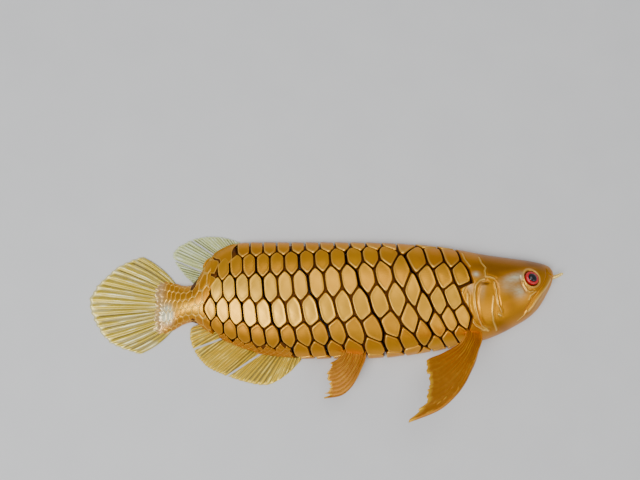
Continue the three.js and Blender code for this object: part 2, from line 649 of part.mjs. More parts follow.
function eyeRing() {
  const inside = EYE.pupil + MESH_GAP;
  const floor = -EYE.sink + MESH_GAP;
  return turned([[inside, floor], [EYE.ring, floor], [EYE.ring, 0.7], [EYE.ring - 0.35, 1.15], [inside, 1.5],
    [inside, floor]], eyeFrame());
}
function pupilSolid() {
  const floor = -EYE.sink + MESH_GAP;
  return turned([[0, floor], [EYE.pupil, floor], [EYE.pupil, 1.45], [EYE.pupil * 0.6, 1.95], [0, 2.1]], eyeFrame());
}

// The feeler is a tapered rod rising from the lower jaw's tip
function barbelSolid(extra = 0) {
  const root = new THREE.Vector3(...BARBEL.root);
  const tip = new THREE.Vector3(...BARBEL.tip);
  const reach = tip.clone().sub(root);
  const turn = new THREE.Quaternion().setFromUnitVectors(new THREE.Vector3(0, 1, 0), reach.clone().normalize());
  const geometry = new THREE.CylinderGeometry(BARBEL.thin + extra, BARBEL.thick + extra, reach.length() + 2 * extra, 8);
  geometry.applyQuaternion(turn).translate(...root.lerp(tip, 0.5).toArray());
  return toSolid(geometry);
}

const group = new THREE.Group();
function addNode(name, solid, look) {
  const mesh = new THREE.Mesh(toGeometry(solid), new THREE.MeshStandardMaterial(look));
  mesh.name = name;
  group.add(mesh);
}

const linkNames = ['tail_base', 'link_1', 'link_2', 'link_3', 'link_4', 'link_5', 'shoulder'];
linkNames.forEach((name, i) => addNode(name, linkSolid(i), GOLD));
addNode('head', headSolid(), GOLD);
addNode('eye_ring', eyeRing(), RED);
addNode('pupil', pupilSolid(), BLACK);
addNode('barbel', barbelSolid(), PALE);

const caudal = flatFin(CAUDAL);
addNode('caudal_fin', finPiece(caudal, 0), PALE);
const dorsal = flatFin(DORSAL);
const anal = flatFin(ANAL);
['rear', 'middle', 'front'].forEach((place, i) => {
  addNode(`dorsal_fin_${place}`, finPiece(dorsal, i), CLEAR);
  addNode(`anal_fin_${place}`, finPiece(anal, i), PALE);
});
addNode('pelvic_fin', raisedFin(PELVIC).subtract(clearBody), AMBER);
addNode('pectoral_fin', raisedFin(PECTORAL).subtract(clearBody), AMBER);

// The origin goes under the middle of the whole half
const centre = new THREE.Box3().setFromObject(group).getCenter(new THREE.Vector3());
group.children.forEach((mesh) => mesh.geometry.translate(-centre.x, -centre.y, 0));

export default group;
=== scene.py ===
"""Printed fish half-figure: the fine surfaces, finishes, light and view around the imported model."""

import bpy
import numpy as np
from bpy.props import FloatProperty, FloatVectorProperty, IntProperty, PointerProperty
from mathutils import Matrix


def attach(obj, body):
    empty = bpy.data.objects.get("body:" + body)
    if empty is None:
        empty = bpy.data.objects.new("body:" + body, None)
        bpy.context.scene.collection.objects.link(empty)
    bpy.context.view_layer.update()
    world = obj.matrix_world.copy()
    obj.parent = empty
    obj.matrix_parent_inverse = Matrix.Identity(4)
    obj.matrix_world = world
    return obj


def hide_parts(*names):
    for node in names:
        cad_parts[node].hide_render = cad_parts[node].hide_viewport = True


bl_info = {
    "name": "Printed Fish Half",
    "version": (1, 0, 0),
    "blender": (4, 5, 0),
    "location": "View3D > Sidebar > Fish",
    "description": "Scales, head, fins, finishes and studio for a printed fish half-figure",
    "category": "Object",
}

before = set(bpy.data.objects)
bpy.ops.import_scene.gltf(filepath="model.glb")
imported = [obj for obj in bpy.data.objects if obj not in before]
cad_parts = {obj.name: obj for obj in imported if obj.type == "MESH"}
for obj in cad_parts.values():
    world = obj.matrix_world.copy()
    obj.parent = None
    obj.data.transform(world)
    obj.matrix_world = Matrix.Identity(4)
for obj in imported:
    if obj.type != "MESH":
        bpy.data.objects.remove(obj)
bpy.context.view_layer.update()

MM = 0.001
# Middle of the half in the drawing's own millimetres: it is moved to the origin
ORIGIN = np.array([1.778, -2.499, 0.0])

# Body stations: x, where back and belly meet the bed, and how high the flank rises
STATIONS = np.array([
    [-76, 15.5, -10.0, 2.4], [-71, 14.0, -7.6, 5.0], [-66, 12.8, -4.8, 7.0], [-61, 14.6, -4.0, 8.2],
    [-55, 25.5, -8.0, 9.7], [-48, 31.2, -12.2, 11.4], [-40, 33.8, -15.6, 12.9], [-28, 34.2, -19.4, 14.6],
    [-12, 34.2, -21.1, 15.8], [10, 34.2, -21.1, 16.6], [30, 33.9, -20.8, 16.9], [50, 32.8, -18.5, 16.9],
    [66, 30.8, -15.6, 16.7], [80, 28.2, -12.2, 16.1], [92, 26.5, -6.8, 15.0], [102, 25.1, -0.2, 12.6],
    [109, 23.5, 9.6, 8.4], [111.2, 22.2, 14.2, 5.8], [112.6, 19.6, 16.4, 3.4],
])
SNOUT = 112.6

# Lattice of the scales: seven rows round the flank in degrees, columns along the body in millimetres
ROW_COUNT = 7
ROW_STEP = 26.0
ROW_3 = 94.0
# Rows lean to the belly on their way to the tail, in degrees per millimetre
ROW_TILT = 0.25
# On the head side of this place they lean by this much more
ROW_TURN = 20.0
ROW_TURN_GAIN = 1.1
# Column c stands at COLUMN_0_X + COLUMN_STEP c + COLUMN_GROWTH c (c - 1), for c below COLUMN_STOP
COLUMN_0_X = -52.1
COLUMN_STEP = 6.0
COLUMN_GROWTH = 0.105
COLUMN_STOP = 13.5
# How far each row below the middle one is set towards the head, at this distance from column 0
COLUMN_LEAN = 1.5
COLUMN_LEAN_SPAN = 80.0
# Height of the flat map as a share of the flank's, and how far cells lean to the head at the belly
CELL_STRETCH = 0.473
CELL_LEAN = 0.17
# Where the even lattice ends, for row 5 and for the other rows
ROW_5_END = -25.0
LATTICE_END = 36.5
# The cuts between links follow the rows' lean up to here
CUT_LEAN_END = 36.0
# First column of each row with a big scale
FIRST_BIG = (2.5, 1, 0.5, 0, 0.5, 6, 6.5)
# Centres that don't follow the lattice: x and degrees round the flank
FREE_SITES = (
    (-18.1, 149.4), (-9.9, 147), (-2, 146.6), (5.6, 146.2), (14.1, 143.8), (23.9, 143),
    (32.8, 139.2), (38.9, 136.2), (39.5, 14), (52, -2), (61, -6), (69.5, -8), (44.3, 45),
    (52.8, 40.4), (61, 37.8), (69, 36), (40.9, 81.8), (48, 71.8), (55.6, 66.4), (63.8, 63.4),
    (71.5, 60), (46.1, 99.8), (52.4, 93.4), (59.1, 90.2), (66.5, 88), (39.5, 109.2), (46.2, 127.8),
    (52.1, 119.8), (57.6, 113.8), (63.7, 112.6), (70.5, 109), (52.9, 148), (58.8, 143.2),
    (64.2, 137.6), (70.5, 133), (42.6, 158.6), (48.5, 172), (56, 174), (63, 172), (70, 165),
)
# Free sites between these two carry a big scale
FREE_FROM = -15.0
COLLAR_X = 66.0
# Groove between scales at the tail, in millimetres
TAIL_GROOVE = 0.56
# Share of the groove between two rows, what is added between scales of one row, and the factor in a link
ROW_GROOVE = 0.66
COLUMN_GROOVE = 0.5
SAME_LINK_SHARE = 0.75
# Lowest place of the rings of a scale above the flat back
BED_GAP = 0.02

# Small scales in the bare cells beside the belly fin's root: spacing along, and around as a share of it
SMALL_PITCH = 2.7
SMALL_ROW = 0.47
SMALL_REACH_MIN = 0.25
# Their centres share out the bare cells from ROOT_START on, and carry a scale from SMALL_START on
ROOT_START = -58.0
SMALL_START = -56.0
SMALL_END = -10.0
# Degrees round the flank between which they lie
SMALL_ARC = (118.0, 177.0)
# Pads that reach from the flank over the back fin's root: body, then outline in plan
ROOT_PADS = (
    ("link_2", ((-40.9, 33.5), (-42.8, 30.8), (-43.0, 28.3), (-42.6, 26.2), (-43.1, 24.5), (-45.2, 22.5),
                (-46.4, 22.2), (-47.7, 23.2), (-48.5, 25.4), (-50.6, 26.0), (-53.0, 28.0), (-51.2, 29.8),
                (-47.7, 31.8), (-43.8, 33.4))),
    ("link_1", ((-53.6, 27.1), (-51.4, 25.3), (-49.3, 24.6), (-48.9, 23.0), (-49.6, 21.3), (-50.6, 18.9),
                (-52.2, 18.8), (-54.4, 19.5), (-56.5, 20.7), (-57.8, 22.0), (-57.3, 23.8), (-55.9, 25.9))),
    ("tail", ((-60.0, 17.4), (-57.1, 18.2), (-53.8, 17.9), (-50.5, 16.9), (-49.4, 15.6), (-49.9, 14.4),
              (-51.6, 12.9), (-52.6, 10.6), (-54.0, 11.5), (-55.0, 13.6), (-58.2, 14.3))),
)
# Cuts between links: x on the middle row and lean towards the head for each row
CUTS = ((-49.2, 3.6), (-36.9, 3.6), (-23.2, 3.6), (-1.9, 3.3), (21.4, 3.6), (46.0, 2.2))
LINKS = ("tail_base", "link_1", "link_2", "link_3", "link_4", "link_5", "shoulder")
BODIES = ("tail", "link_1", "link_2", "link_3", "link_4", "link_5", "front")

# Slots that carry the first two cuts through the back and belly fins
DORSAL_SLOTS = (
    ((-77, 28.5), (-71.8, 25.5), (-56.3, 19.2), (-53.6, 18.8), (-54.8, 14.1)),
    ((-67, 38), (-64.1, 35.6), (-54.2, 29.0), (-51.5, 27.6), (-46.3, 25.5)),
)
ANAL_SLOTS = (
    ((-45.8, -8.7), (-48.3, -12.1), (-60.1, -16.5), (-66, -19.5)),
    ((-29.4, -14.8), (-28.0, -18.2), (-44.1, -28.8), (-50, -33)),
)
SLOT_GAP = 0.95
# How strongly the lines between the rays of a flat fin are darkened with painted shade
SHADE_LINE_SHARE = 0.95

CAUDAL_ROOT = ((-69.5, 12.2), (-70.6, 9), (-71.0, 3.5), (-70.6, -1), (-69.8, -5.6))
CAUDAL_RIM = ((-87.9, 27.5), (-98, 23.3), (-104.9, 17.5), (-109.4, 12.2), (-112.2, 5.8), (-109.4, -2.4),
              (-105.8, -9.1), (-100.9, -13.8), (-93.6, -17.1), (-86.7, -19.2))
DORSAL_ROOT = ((-39.0, 31.5), (-45, 30.5), (-51, 28), (-54, 23), (-56, 19), (-59.5, 13))
DORSAL_RIM = ((-40.2, 34.4), (-47.6, 36.6), (-52.5, 37.2), (-57.4, 37.1), (-63.2, 35.9), (-67, 34.1),
              (-70.4, 32.1), (-72.9, 28.5), (-71.6, 24.8), (-69, 20.9), (-66, 17.6), (-62.4, 14.3))
ANAL_ROOT = ((-9.5, -19), (-20, -18), (-28, -16.5), (-38, -13.5), (-48, -9.5), (-57, -3.5))
ANAL_RIM = ((-10.1, -22.3), (-16.2, -28.3), (-24.7, -33.3), (-31.8, -33.3), (-43.2, -30.2), (-47, -28.8),
            (-54.6, -25.1), (-60.5, -18.6), (-63.1, -11.6), (-62.6, -6.8), (-58.6, -5.2))
PECTORAL_LEAD = ((73.6, -8.0, 9.5), (72.6, -12.4, 13.5), (69.0, -16.6, 19.0), (65.8, -20.8, 23.6),
                 (61.7, -25.2, 27.9), (58.5, -28.9, 30.4), (54.4, -32.5, 33.0), (46.7, -37.7, 35.6),
                 (33.2, -42.0, 38.6))
PECTORAL_INNER = ((66.5, -7.0, 11.0), (64.5, -11.5, 12.5), (61.5, -14.4, 13.4), (57.1, -16.4, 14.6),
                  (52.8, -18.2, 15.7), (48.6, -19.4, 17.0), (45.3, -20.8, 17.9))
# How far the raised fins' outer edges bow out, in millimetres; below zero they are hollow
PECTORAL_BULGE = -4.4
PELVIC_BULGE = 2.2
PELVIC_RAYS = 9
PELVIC_LEAD = ((20.6, -17.5, 5.0), (20.2, -20.8, 6.2), (18.1, -25.0, 8.4), (15.6, -29.4, 10.4),
               (12.3, -33.5, 12.2), (8.2, -36.2, 13.4), (0.6, -37.3, 14.4))
PELVIC_INNER = ((10.0, -16.5, 7.5), (8.6, -19.2, 8.6), (6.0, -21.0, 10.0), (3.2, -22.2, 11.4))

# x of the tail's skin, from the fin to the first scales
TAIL_SKIN = (-78.5, -50.5)

EYE = (97.2, 16.1)
EYE_RING = 3.15
EYE_PUPIL = 2.05
BARBEL = ((110.8, 16.6, 1.8), (113.4, 17.4, 3.7), (115.7, 18.8, 6.2))
# Height of one fine step of the print
LAYER = 0.28


# Curves and surfaces

def over_stations(column):
    """Cubic Hermite curve through a column of STATIONS; each slope is that of its two neighbours."""
    xs, ys = STATIONS[:, 0], STATIONS[:, column]
    last = len(xs) - 1
    before = np.maximum(np.arange(last + 1) - 1, 0)
    after = np.minimum(np.arange(last + 1) + 1, last)
    slopes = (ys[after] - ys[before]) / (xs[after] - xs[before])

    def value(x):
        x = np.clip(x, xs[0], xs[-1])
        i = np.clip(np.searchsorted(xs, x, side="right") - 1, 0, last - 1)
        w = xs[i + 1] - xs[i]
        u = (x - xs[i]) / w
        return ((2 * u**3 - 3 * u**2 + 1) * ys[i] + (u**3 - 2 * u**2 + u) * w * slopes[i]
                + (3 * u**2 - 2 * u**3) * ys[i + 1] + (u**3 - u**2) * w * slopes[i + 1])
    return value


back_at, belly_at, high_at = over_stations(1), over_stations(2), over_stations(3)


def flank(x, t, depth=0.0):
    """Half-oval section: y = middle + (half - depth) cos t, z = (high - depth) sin t, t in degrees."""
    x, t, depth = np.broadcast_arrays(np.asarray(x, float), t, depth)
    back, belly = back_at(x), belly_at(x)
    angle = np.radians(t)
    half = np.maximum((back - belly) / 2 - depth, 0.05)
    high = np.maximum(high_at(x) - depth, 0.05)
    return np.stack([x, (back + belly) / 2 + half * np.cos(angle), high * np.sin(angle)], -1)


def mm_per_degree(x, t):
    """Length along the section for one degree of t."""
    angle = np.radians(t)
    return np.radians(1) * np.hypot(half_at(x) * np.sin(angle), high_at(x) * np.cos(angle))


def smooth_step(x, low, high):
    """0 below low, 1 above high, 3u^2 - 2u^3 between."""
    u = np.clip((x - low) / (high - low), 0, 1)
    return u * u * (3 - 2 * u)


def smooth_path(points, fineness=24):
    """Centripetal Catmull-Rom curve through the points; returns a function of arc length from 0 to 1."""
    p = np.array(points, float)
    if p.shape[1] == 2:
        p = np.concatenate([p, np.zeros((len(p), 1))], 1)
    p = np.concatenate([[2 * p[0] - p[1]], p, [2 * p[-1] - p[-2]]])
    t = np.concatenate([[0], np.cumsum(np.linalg.norm(np.diff(p, axis=0), axis=1) ** 0.5)])
    i = np.arange(1, len(p) - 2)[:, None]
    s = t[i] + (t[i + 1] - t[i]) * np.linspace(0, 1, fineness, endpoint=False)[None, :]

    def between(a, b, ta, tb):
        u = ((s - ta) / (tb - ta))[..., None]
        return a * (1 - u) + b * u
    a1 = between(p[i - 1], p[i], t[i - 1], t[i])
    a2 = between(p[i], p[i + 1], t[i], t[i + 1])
    a3 = between(p[i + 1], p[i + 2], t[i + 1], t[i + 2])
    b1 = between(a1, a2, t[i - 1], t[i + 1])
    b2 = between(a2, a3, t[i], t[i + 2])
    line = np.concatenate([between(b1, b2, t[i], t[i + 1]).reshape(-1, 3), p[-2:-1]])
    run = np.concatenate([[0], np.cumsum(np.linalg.norm(np.diff(line, axis=0), axis=1))])
    run /= run[-1]

    def at(u):
        u = np.clip(u, 0, 1)
        return np.stack([np.interp(u, run, line[:, k]) for k in range(3)], -1)
    return at


def to_line(x, y, path):
    """Signed distance in plan from each point to a polyline: positive on its left hand."""
    best = np.full(np.shape(x), 1e9)
    signed = np.zeros(np.shape(x))
    for (ax, ay), (bx, by) in zip(path[:-1], path[1:]):
        dx, dy = bx - ax, by - ay
        u = np.clip(((x - ax) * dx + (y - ay) * dy) / (dx * dx + dy * dy), 0, 1)
        far = np.hypot(x - ax - u * dx, y - ay - u * dy)
        side = np.sign(dx * (y - ay) - dy * (x - ax))
        nearer = far < best
        signed = np.where(nearer, far * side, signed)
        best = np.where(nearer, far, best)
    return signed


def value_noise(u, v, seed=0.0):
    """Smooth noise, 0 to 1: grid values fract(43758.5 sin(127.1 i + 311.7 j + seed)), eased between."""
    i, j = np.floor(u), np.floor(v)
    fu, fv = u - i, v - j
    fu, fv = fu * fu * (3 - 2 * fu), fv * fv * (3 - 2 * fv)

    def hashed(a, b):
        wave = np.sin(a * 127.1 + b * 311.7 + seed) * 43758.5453
        return wave - np.floor(wave)
    near = hashed(i, j) * (1 - fu) + hashed(i + 1, j) * fu
    far = hashed(i, j + 1) * (1 - fu) + hashed(i + 1, j + 1) * fu
    return near * (1 - fv) + far * fv


def grid_quads(rows, columns, start=0, wrap=False):
    """Quads of a grid of points; wrap joins the last column to the first."""
    i = np.arange(rows - 1)[:, None]
    j = np.arange(columns if wrap else columns - 1)[None, :]
    a = i * columns + j
    b = i * columns + (j + 1) % columns
    return start + np.stack([a, b, b + columns, a + columns], -1).reshape(-1, 4)


def ring_walls(loop_a, loop_b):
    """Quads between two closed loops of point numbers."""
    return np.stack([loop_a, np.roll(loop_a, -1), np.roll(loop_b, -1), loop_b], -1)


def closed_sheet(upper, lower):
    """Closed shell from two grids with the same outline: both faces and the wall round them."""
    rows, columns = upper.shape[:2]
    count = rows * columns
    number = np.arange(count).reshape(rows, columns)
    edge = np.concatenate([number[0, :-1], number[:-1, -1], number[-1, :0:-1], number[:0:-1, 0]])
    quads = np.concatenate([
        grid_quads(rows, columns)[:, ::-1], grid_quads(rows, columns, count), ring_walls(edge, edge + count),
    ])
    points = np.concatenate([upper.reshape(-1, 3), lower.reshape(-1, 3)])
    return points, quads, np.zeros((0, 3), int)


def closed_arch(rings):
    """Closed shell from a row of open arches: each arch's two feet are joined underneath."""
    rows, columns = rings.shape[:2]
    count = rows * columns
    i = np.arange(rows - 1)
    floor = np.stack([i * columns, (i + 1) * columns, (i + 2) * columns - 1, (i + 1) * columns - 1], -1)
    j = np.arange(columns)
    fans = np.concatenate([
        np.stack([np.full(columns, count), np.roll(j, -1), j], -1),
        np.stack([np.full(columns, count + 1), count - columns + j, count - columns + np.roll(j, -1)], -1),
    ])
    ends = np.stack([rings[0].mean(0), rings[-1].mean(0)])
    points = np.concatenate([rings.reshape(-1, 3), ends])
    return points, np.concatenate([grid_quads(rows, columns), floor]), fans


def closed_turn(rings, start, end):
    """Closed shell from rings of points with a point at each end."""
    rows, columns = rings.shape[:2]
    count = rows * columns
    j = np.arange(columns)
    follow = np.roll(j, -1)
    fans = np.concatenate([
        np.stack([np.full(columns, count), follow, j], -1),
        np.stack([np.full(columns, count + 1), count - columns + j, count - columns + follow], -1),
    ])
    points = np.concatenate([rings.reshape(-1, 3), [start, end]])
    return points, grid_quads(rows, columns, wrap=True), fans


def merged(shells):
    """One set of points and faces from many."""
    points, quads, tris = [], [], []
    start = 0
    for p, q, t in shells:
        points.append(p)
        quads.append(q + start)
        tris.append(t + start)
        start += len(p)
    return np.concatenate(points), np.concatenate(quads), np.concatenate(tris)


def volume(points, quads, tris):
    """Signed volume: sum of the triangles' triple products over six."""
    faces = np.concatenate([quads[:, [0, 1, 2]], quads[:, [0, 2, 3]], tris])
    a, b, c = points[faces[:, 0]], points[faces[:, 1]], points[faces[:, 2]]
    return np.einsum("ij,ij->i", a, np.cross(b, c)).sum() / 6


def make_piece(name, shell, body, material, replaces=(), marks=None):
    """Puts a shell into a mesh object with its faces outwards, and ties it to the frame."""
    points, quads, tris = shell
    if volume(points, quads, tris) < 0:
        quads, tris = quads[:, ::-1], tris[:, ::-1]
    mesh = bpy.data.meshes.new(name)
    loops = np.concatenate([quads.ravel(), tris.ravel()]).astype(np.int32)
    sizes = np.concatenate([np.full(len(quads), 4), np.full(len(tris), 3)])
    mesh.vertices.add(len(points))
    mesh.vertices.foreach_set("co", ((points - ORIGIN) * MM).astype(np.float32).ravel())
    mesh.loops.add(len(loops))
    mesh.loops.foreach_set("vertex_index", loops)
    mesh.polygons.add(len(sizes))
    mesh.polygons.foreach_set("loop_start", (np.cumsum(sizes) - sizes).astype(np.int32))
    mesh.polygons.foreach_set("use_smooth", np.full(len(sizes), True))
    mesh.update(calc_edges=True)
    for key, values in (marks or {}).items():
        mark = mesh.attributes.new(key, "FLOAT", "POINT")
        mark.data.foreach_set("value", values.astype(np.float32).ravel())
    mesh.materials.append(material)
    piece = bpy.data.objects.new(name, mesh)
    bpy.context.scene.collection.objects.link(piece)
    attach(piece, body)
    if replaces:
        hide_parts(*replaces)


# Scales

def half_at(x):
    """Half the body's width on the bed: (back - belly) / 2."""
    return (back_at(x) - belly_at(x)) / 2


def lean_at(x, t):
    """How far the cells of the belly side lean to the head: share * half * max(0.8 - cos t, 0)^2."""
    low = np.maximum(0.8 - np.cos(np.radians(np.clip(t, 0, 180))), 0)
    return CELL_LEAN * (0.2 + 0.8 * smooth_step(x, -50, 50)) * half_at(x) * low**2


def map_scale(x):
    """Map units for one degree round the flank."""
    return CELL_STRETCH * np.radians(1) * half_at(x)


def to_map(x, t):
    """The flat map on which scales are shared out: X = x - lean(X, t), T = (t - middle row) * scale(X)."""
    across = np.array(x, float)
    for _ in range(30):
        across = x - lean_at(across, t)
    return across, (t - ROW_3) * map_scale(across)


def off_map(across, down):
    """Back from the map to x and t."""
    t = np.clip(ROW_3 + down / map_scale(across), 0, 180)
    return across + lean_at(across, t), t


def row_bend(x):
    """Degrees towards the belly by which the rows have leant at x: tilt * (turn - x), with the gain."""
    return ROW_TILT * (ROW_TURN - x) * np.where(x < ROW_TURN, 1, ROW_TURN_GAIN)


def scale_sites():
    """Centres of the scales: x, t, the link each belongs to, and whether it carries a scale."""
    rows = []
    for row in range(ROW_COUNT):
        c = np.arange(-2.5 if row % 2 == 0 else -2.0, COLUMN_STOP, 1.0)
        column = COLUMN_0_X + COLUMN_STEP * c + COLUMN_GROWTH * c * (c - 1)
        x = column + COLUMN_LEAN * (row - 3) * (column - COLUMN_0_X) / COLUMN_LEAN_SPAN
        t = ROW_3 + ROW_STEP * (row - 3) + row_bend(x)
        kept = x <= (ROW_5_END if row == 5 else LATTICE_END)
        rows.append(np.stack([x, t, c >= FIRST_BIG[row]], -1)[kept])
    x, t = np.array(FREE_SITES).T
    rows.append(np.stack([x, t, (x < COLLAR_X) & (x > FREE_FROM)], -1))
    x, t, shown = np.concatenate(rows).T
    bent = row_bend(np.minimum(x, CUT_LEAN_END))
    link = sum((x > cut + lean * (t - ROW_3 - bent) / ROW_STEP).astype(int) for cut, lean in CUTS)
    return x, t, link, shown > 0


def scale_reach(x, t, link, angles, inset, roundness=10.0):
    """Distance on the map from each centre to its scale's edge at each angle.

    Half planes stand midway to each neighbour, moved in by the inset. The reach is the rounded smallest
    of their distances: (sum of (cos / distance)^p)^(-1/p).
    """
    cos, sin = np.cos(angles), np.sin(angles)
    across, down = to_map(x, t)
    scale = map_scale(across)
    slope = lean_at(across, t + 0.5) - lean_at(across, t - 0.5)
    dx = across[None, :] - across[:, None]
    dt = down[None, :] - down[:, None]
    near = (np.abs(dx) < 22) & (np.abs(dt) < 18) & ~np.eye(len(x), dtype=bool)
    real = (dt * scale[:, None] - dx * slope[:, None]) / mm_per_degree(x, t)[:, None]
    # Grooves between scales of one row are wider than those between rows, and widest where two links meet
    wider = ROW_GROOVE + COLUMN_GROOVE * dx**2 / np.maximum(dx**2 + real**2, 0.01)
    wider *= np.where(link[None, :] == link[:, None], SAME_LINK_SHARE, 1.0)
    middle = (dx**2 + dt**2) / 2 - inset[:, None] * wider * np.hypot(dx, real)
    along = dx[..., None] * cos + dt[..., None] * sin
    pull = np.where(near[..., None] & (along > 0), along / np.maximum(middle, 0.05)[..., None], 0)
    walls = np.stack([
        np.maximum(-sin, 0) / np.maximum((t - 1.0) * scale, 0.2)[:, None],
        np.maximum(sin, 0) / np.maximum((179 - t) * scale, 0.2)[:, None],
    ], 1)
    pull = np.concatenate([pull, walls], 1)
    return np.maximum((pull**roundness).sum(1), 1e-12) ** (-1 / roundness)


def border_gap(px, pt, x, t, wanted):
    """How far inside the wanted cells each place is: (d_other^2 - d_wanted^2) / (2 D), negative outside."""
    across, down = to_map(px, pt)
    home_x, home_t = to_map(x, t)
    best_in = np.full(np.shape(across), 1e9)
    best_out = best_in.copy()
    at_in = [np.zeros_like(across), np.zeros_like(across)]
    at_out = [np.zeros_like(across), np.zeros_like(across)]
    for hx, ht, inside in zip(home_x, home_t, wanted):
        away = (across - hx) ** 2 + (down - ht) ** 2
        best, at = (best_in, at_in) if inside else (best_out, at_out)
        nearer = away < best
        best[nearer] = away[nearer]
        at[0][nearer], at[1][nearer] = hx, ht
    apart = np.hypot(at_in[0] - at_out[0], at_in[1] - at_out[1])
    return (best_out - best_in) / (2 * np.maximum(apart, 0.1))


# Section of a scale from its sunk foot to its middle: share of the reach, and depth under the outer skin
SCALE_SECTION = np.array([
    [1.0, 2.2], [1.0, 0.62], [0.996, 0.26], [0.982, 0.02], [0.96, -0.18], [0.925, -0.3], [0.88, -0.31],
    [0.83, -0.25], [0.7, -0.21], [0.5, -0.25], [0.25, -0.29],
])


def scale_shells(x, t, reach, angles, tilt, sink=0.0, height=1.0):
    """A scale per centre: rings at shares of its reach, tilted so that rear and belly edges stand out."""
    share, depth = SCALE_SECTION.T
    depth = np.where(depth > 0.5, depth, depth * height + sink)
    r = share[None, :, None] * reach[:, None, :]
    along, across = r * np.cos(angles), r * np.sin(angles)
    mid_x, mid_t = to_map(x, t)
    sx, st = off_map(mid_x[:, None, None] + along, mid_t[:, None, None] + across)
    lean = (-along * 0.9 + across * 0.5) / 4.0
    lean *= (share < 0.999)[None, :, None] + 0.5 * (share >= 0.999)[None, :, None]
    rings = flank(sx, st, depth[None, :, None] - tilt * np.clip(lean, -1, 1.4))
    foot = flank(x, t, SCALE_SECTION[0, 1])
    for points in (rings, foot):
        points[..., 2] = np.maximum(points[..., 2], BED_GAP)
    top = flank(x, t, depth[-1] - 0.02)
    shells = [closed_turn(rings[k], foot[k], top[k]) for k in range(len(x))]
    # Painted highlight along each scale's rim, brighter on the edges towards the tail and the belly
    lit = np.clip(0.62 - 0.5 * np.cos(angles) + 0.25 * np.sin(angles), 0.2, 1)
    rim = np.interp(share, [0.8, 0.9, 0.945, 0.985, 1.0], [0, 0.45, 1, 0.75, 0.1])[:, None] * lit
    # Painted shade on each scale's sunk foot and its sides down into the groove
    low = (depth > 0.5).astype(float)
    # Painted sheen: a pale band on the rows round t = 92 that face the lamp, stronger towards the tail
    sheen = np.exp(-(((t - 92) / 27) ** 2)) * (0.55 + 0.45 * smooth_step(-x, -30, 35))
    ends = np.zeros((len(x), 2))
    rim_highlights = np.concatenate([np.tile(rim.ravel(), (len(x), 1)), ends], 1)
    low_shade = np.concatenate([np.tile(np.repeat(low, len(angles)), (len(x), 1)), ends + [1, 0]], 1)
    sheens = np.repeat(sheen[:, None], rim_highlights.shape[1], 1)
    return merged(shells), {"rim": rim_highlights, "low": low_shade, "sheen": sheens}


def root_sites(x, t, link, shown):
    """Centres of the small scales that fill the bare cells beside the fins: x, t, link and bare cell."""
    home_x, home_t = to_map(x, t)
    rows, columns = np.meshgrid(np.arange(-30, 31), np.arange(-24, 10), indexing="ij")
    grid_x = (columns * SMALL_PITCH + (rows % 2) * SMALL_PITCH / 2).ravel()
    grid_t = (rows * SMALL_PITCH * SMALL_ROW).ravel()
    away = (grid_x[:, None] - home_x) ** 2 + (grid_t[:, None] - home_t) ** 2
    owner = away.argmin(1)
    sx, st = off_map(grid_x, grid_t)
    inside = (sx > ROOT_START) & (sx < SMALL_END) & (st > SMALL_ARC[0]) & (st < SMALL_ARC[1])
    mine = ~shown[owner] & inside
    return sx[mine], st[mine], link[owner[mine]], owner[mine]


def root_reach(small, owner, link, big_x, big_t, big_shown, angles):
    """Reach of each small scale: midway to the other small ones, clear of the big ones round its cell."""
    cos, sin = np.cos(angles), np.sin(angles)
    px, pt = to_map(*small)
    home_x, home_t = to_map(big_x, big_t)
    dx, dt = px[None, :] - px[:, None], pt[None, :] - pt[:, None]
    gap = np.where(link[None, :] == link[:, None], 0.02, 0.16)
    near = (np.hypot(dx, dt) < 9) & ~np.eye(len(px), dtype=bool)
    middle = (dx**2 + dt**2) / 2 - gap * np.hypot(dx, dt)
    along = dx[..., None] * cos + dt[..., None] * sin
    pull = np.where(near[..., None] & (along > 0), along / np.maximum(middle, 0.02)[..., None], 0)
    wx, wt = home_x[None, :] - home_x[owner][:, None], home_t[None, :] - home_t[owner][:, None]
    bound = big_shown[None, :] & (np.hypot(wx, wt) < 14)
    half = wx * ((home_x[None, :] + home_x[owner][:, None]) / 2 - px[:, None])
    half = half + wt * ((home_t[None, :] + home_t[owner][:, None]) / 2 - pt[:, None]) - 0.3 * np.hypot(wx, wt)
    toward = wx[..., None] * cos + wt[..., None] * sin
    pull_big = np.where(bound[..., None] & (toward > 0), toward / np.maximum(half, 0.02)[..., None], 0)
    return np.maximum((np.concatenate([pull, pull_big], 1) ** 12.0).sum(1), 1e-12) ** (-1 / 12.0)


# Fins

def ray_profile(a, rays):
    """Rounded ridges across a fin: (1 + cos)/2 of the ray number, sharpened."""
    return (0.5 + 0.5 * np.cos(2 * np.pi * (a * rays - 0.5))) ** 1.6


def flat_fin(root, rim, bow=0.0, skew=0.0):
    """Place on a flat fin: straight rays from root to rim, bowed sideways by 4 b (1 - b)."""
    root_at, rim_at = smooth_path(root), smooth_path(rim)

    def place(a, b):
        warp = np.clip(a + skew * a * (1 - a) * np.maximum(0.77 - a, 0), 0, 1)
        start, end = root_at(a), rim_at(warp)
        point = start + (end - start) * b[..., None]
        side = 2 * a - 1
        out = np.stack([end[..., 1] - start[..., 1], start[..., 0] - end[..., 0], 0 * side], -1)
        out /= np.linalg.norm(out, axis=-1, keepdims=True)
        return point - out * (4 * bow * b * (1 - b) * side * np.abs(side))[..., None]
    return place


def slot_share(place, b, path, offset):
    """Ray position a, for each b, where the fin meets a line drawn beside a slot."""
    a = np.linspace(0, 1, 600)
    grid = place(*np.meshgrid(a, b))
    gap = to_line(grid[..., 0], grid[..., 1], path) - offset
    crossing = (gap[:, :-1] * gap[:, 1:] <= 0)
    first = np.argmax(crossing, 1)
    rows = np.arange(len(b))
    g0, g1 = gap[rows, first], gap[rows, first + 1]
    found = a[first] + (a[first + 1] - a[first]) * g0 / np.where(g0 == g1, 1, g0 - g1)
    return np.where(crossing.any(1), found, np.nan)


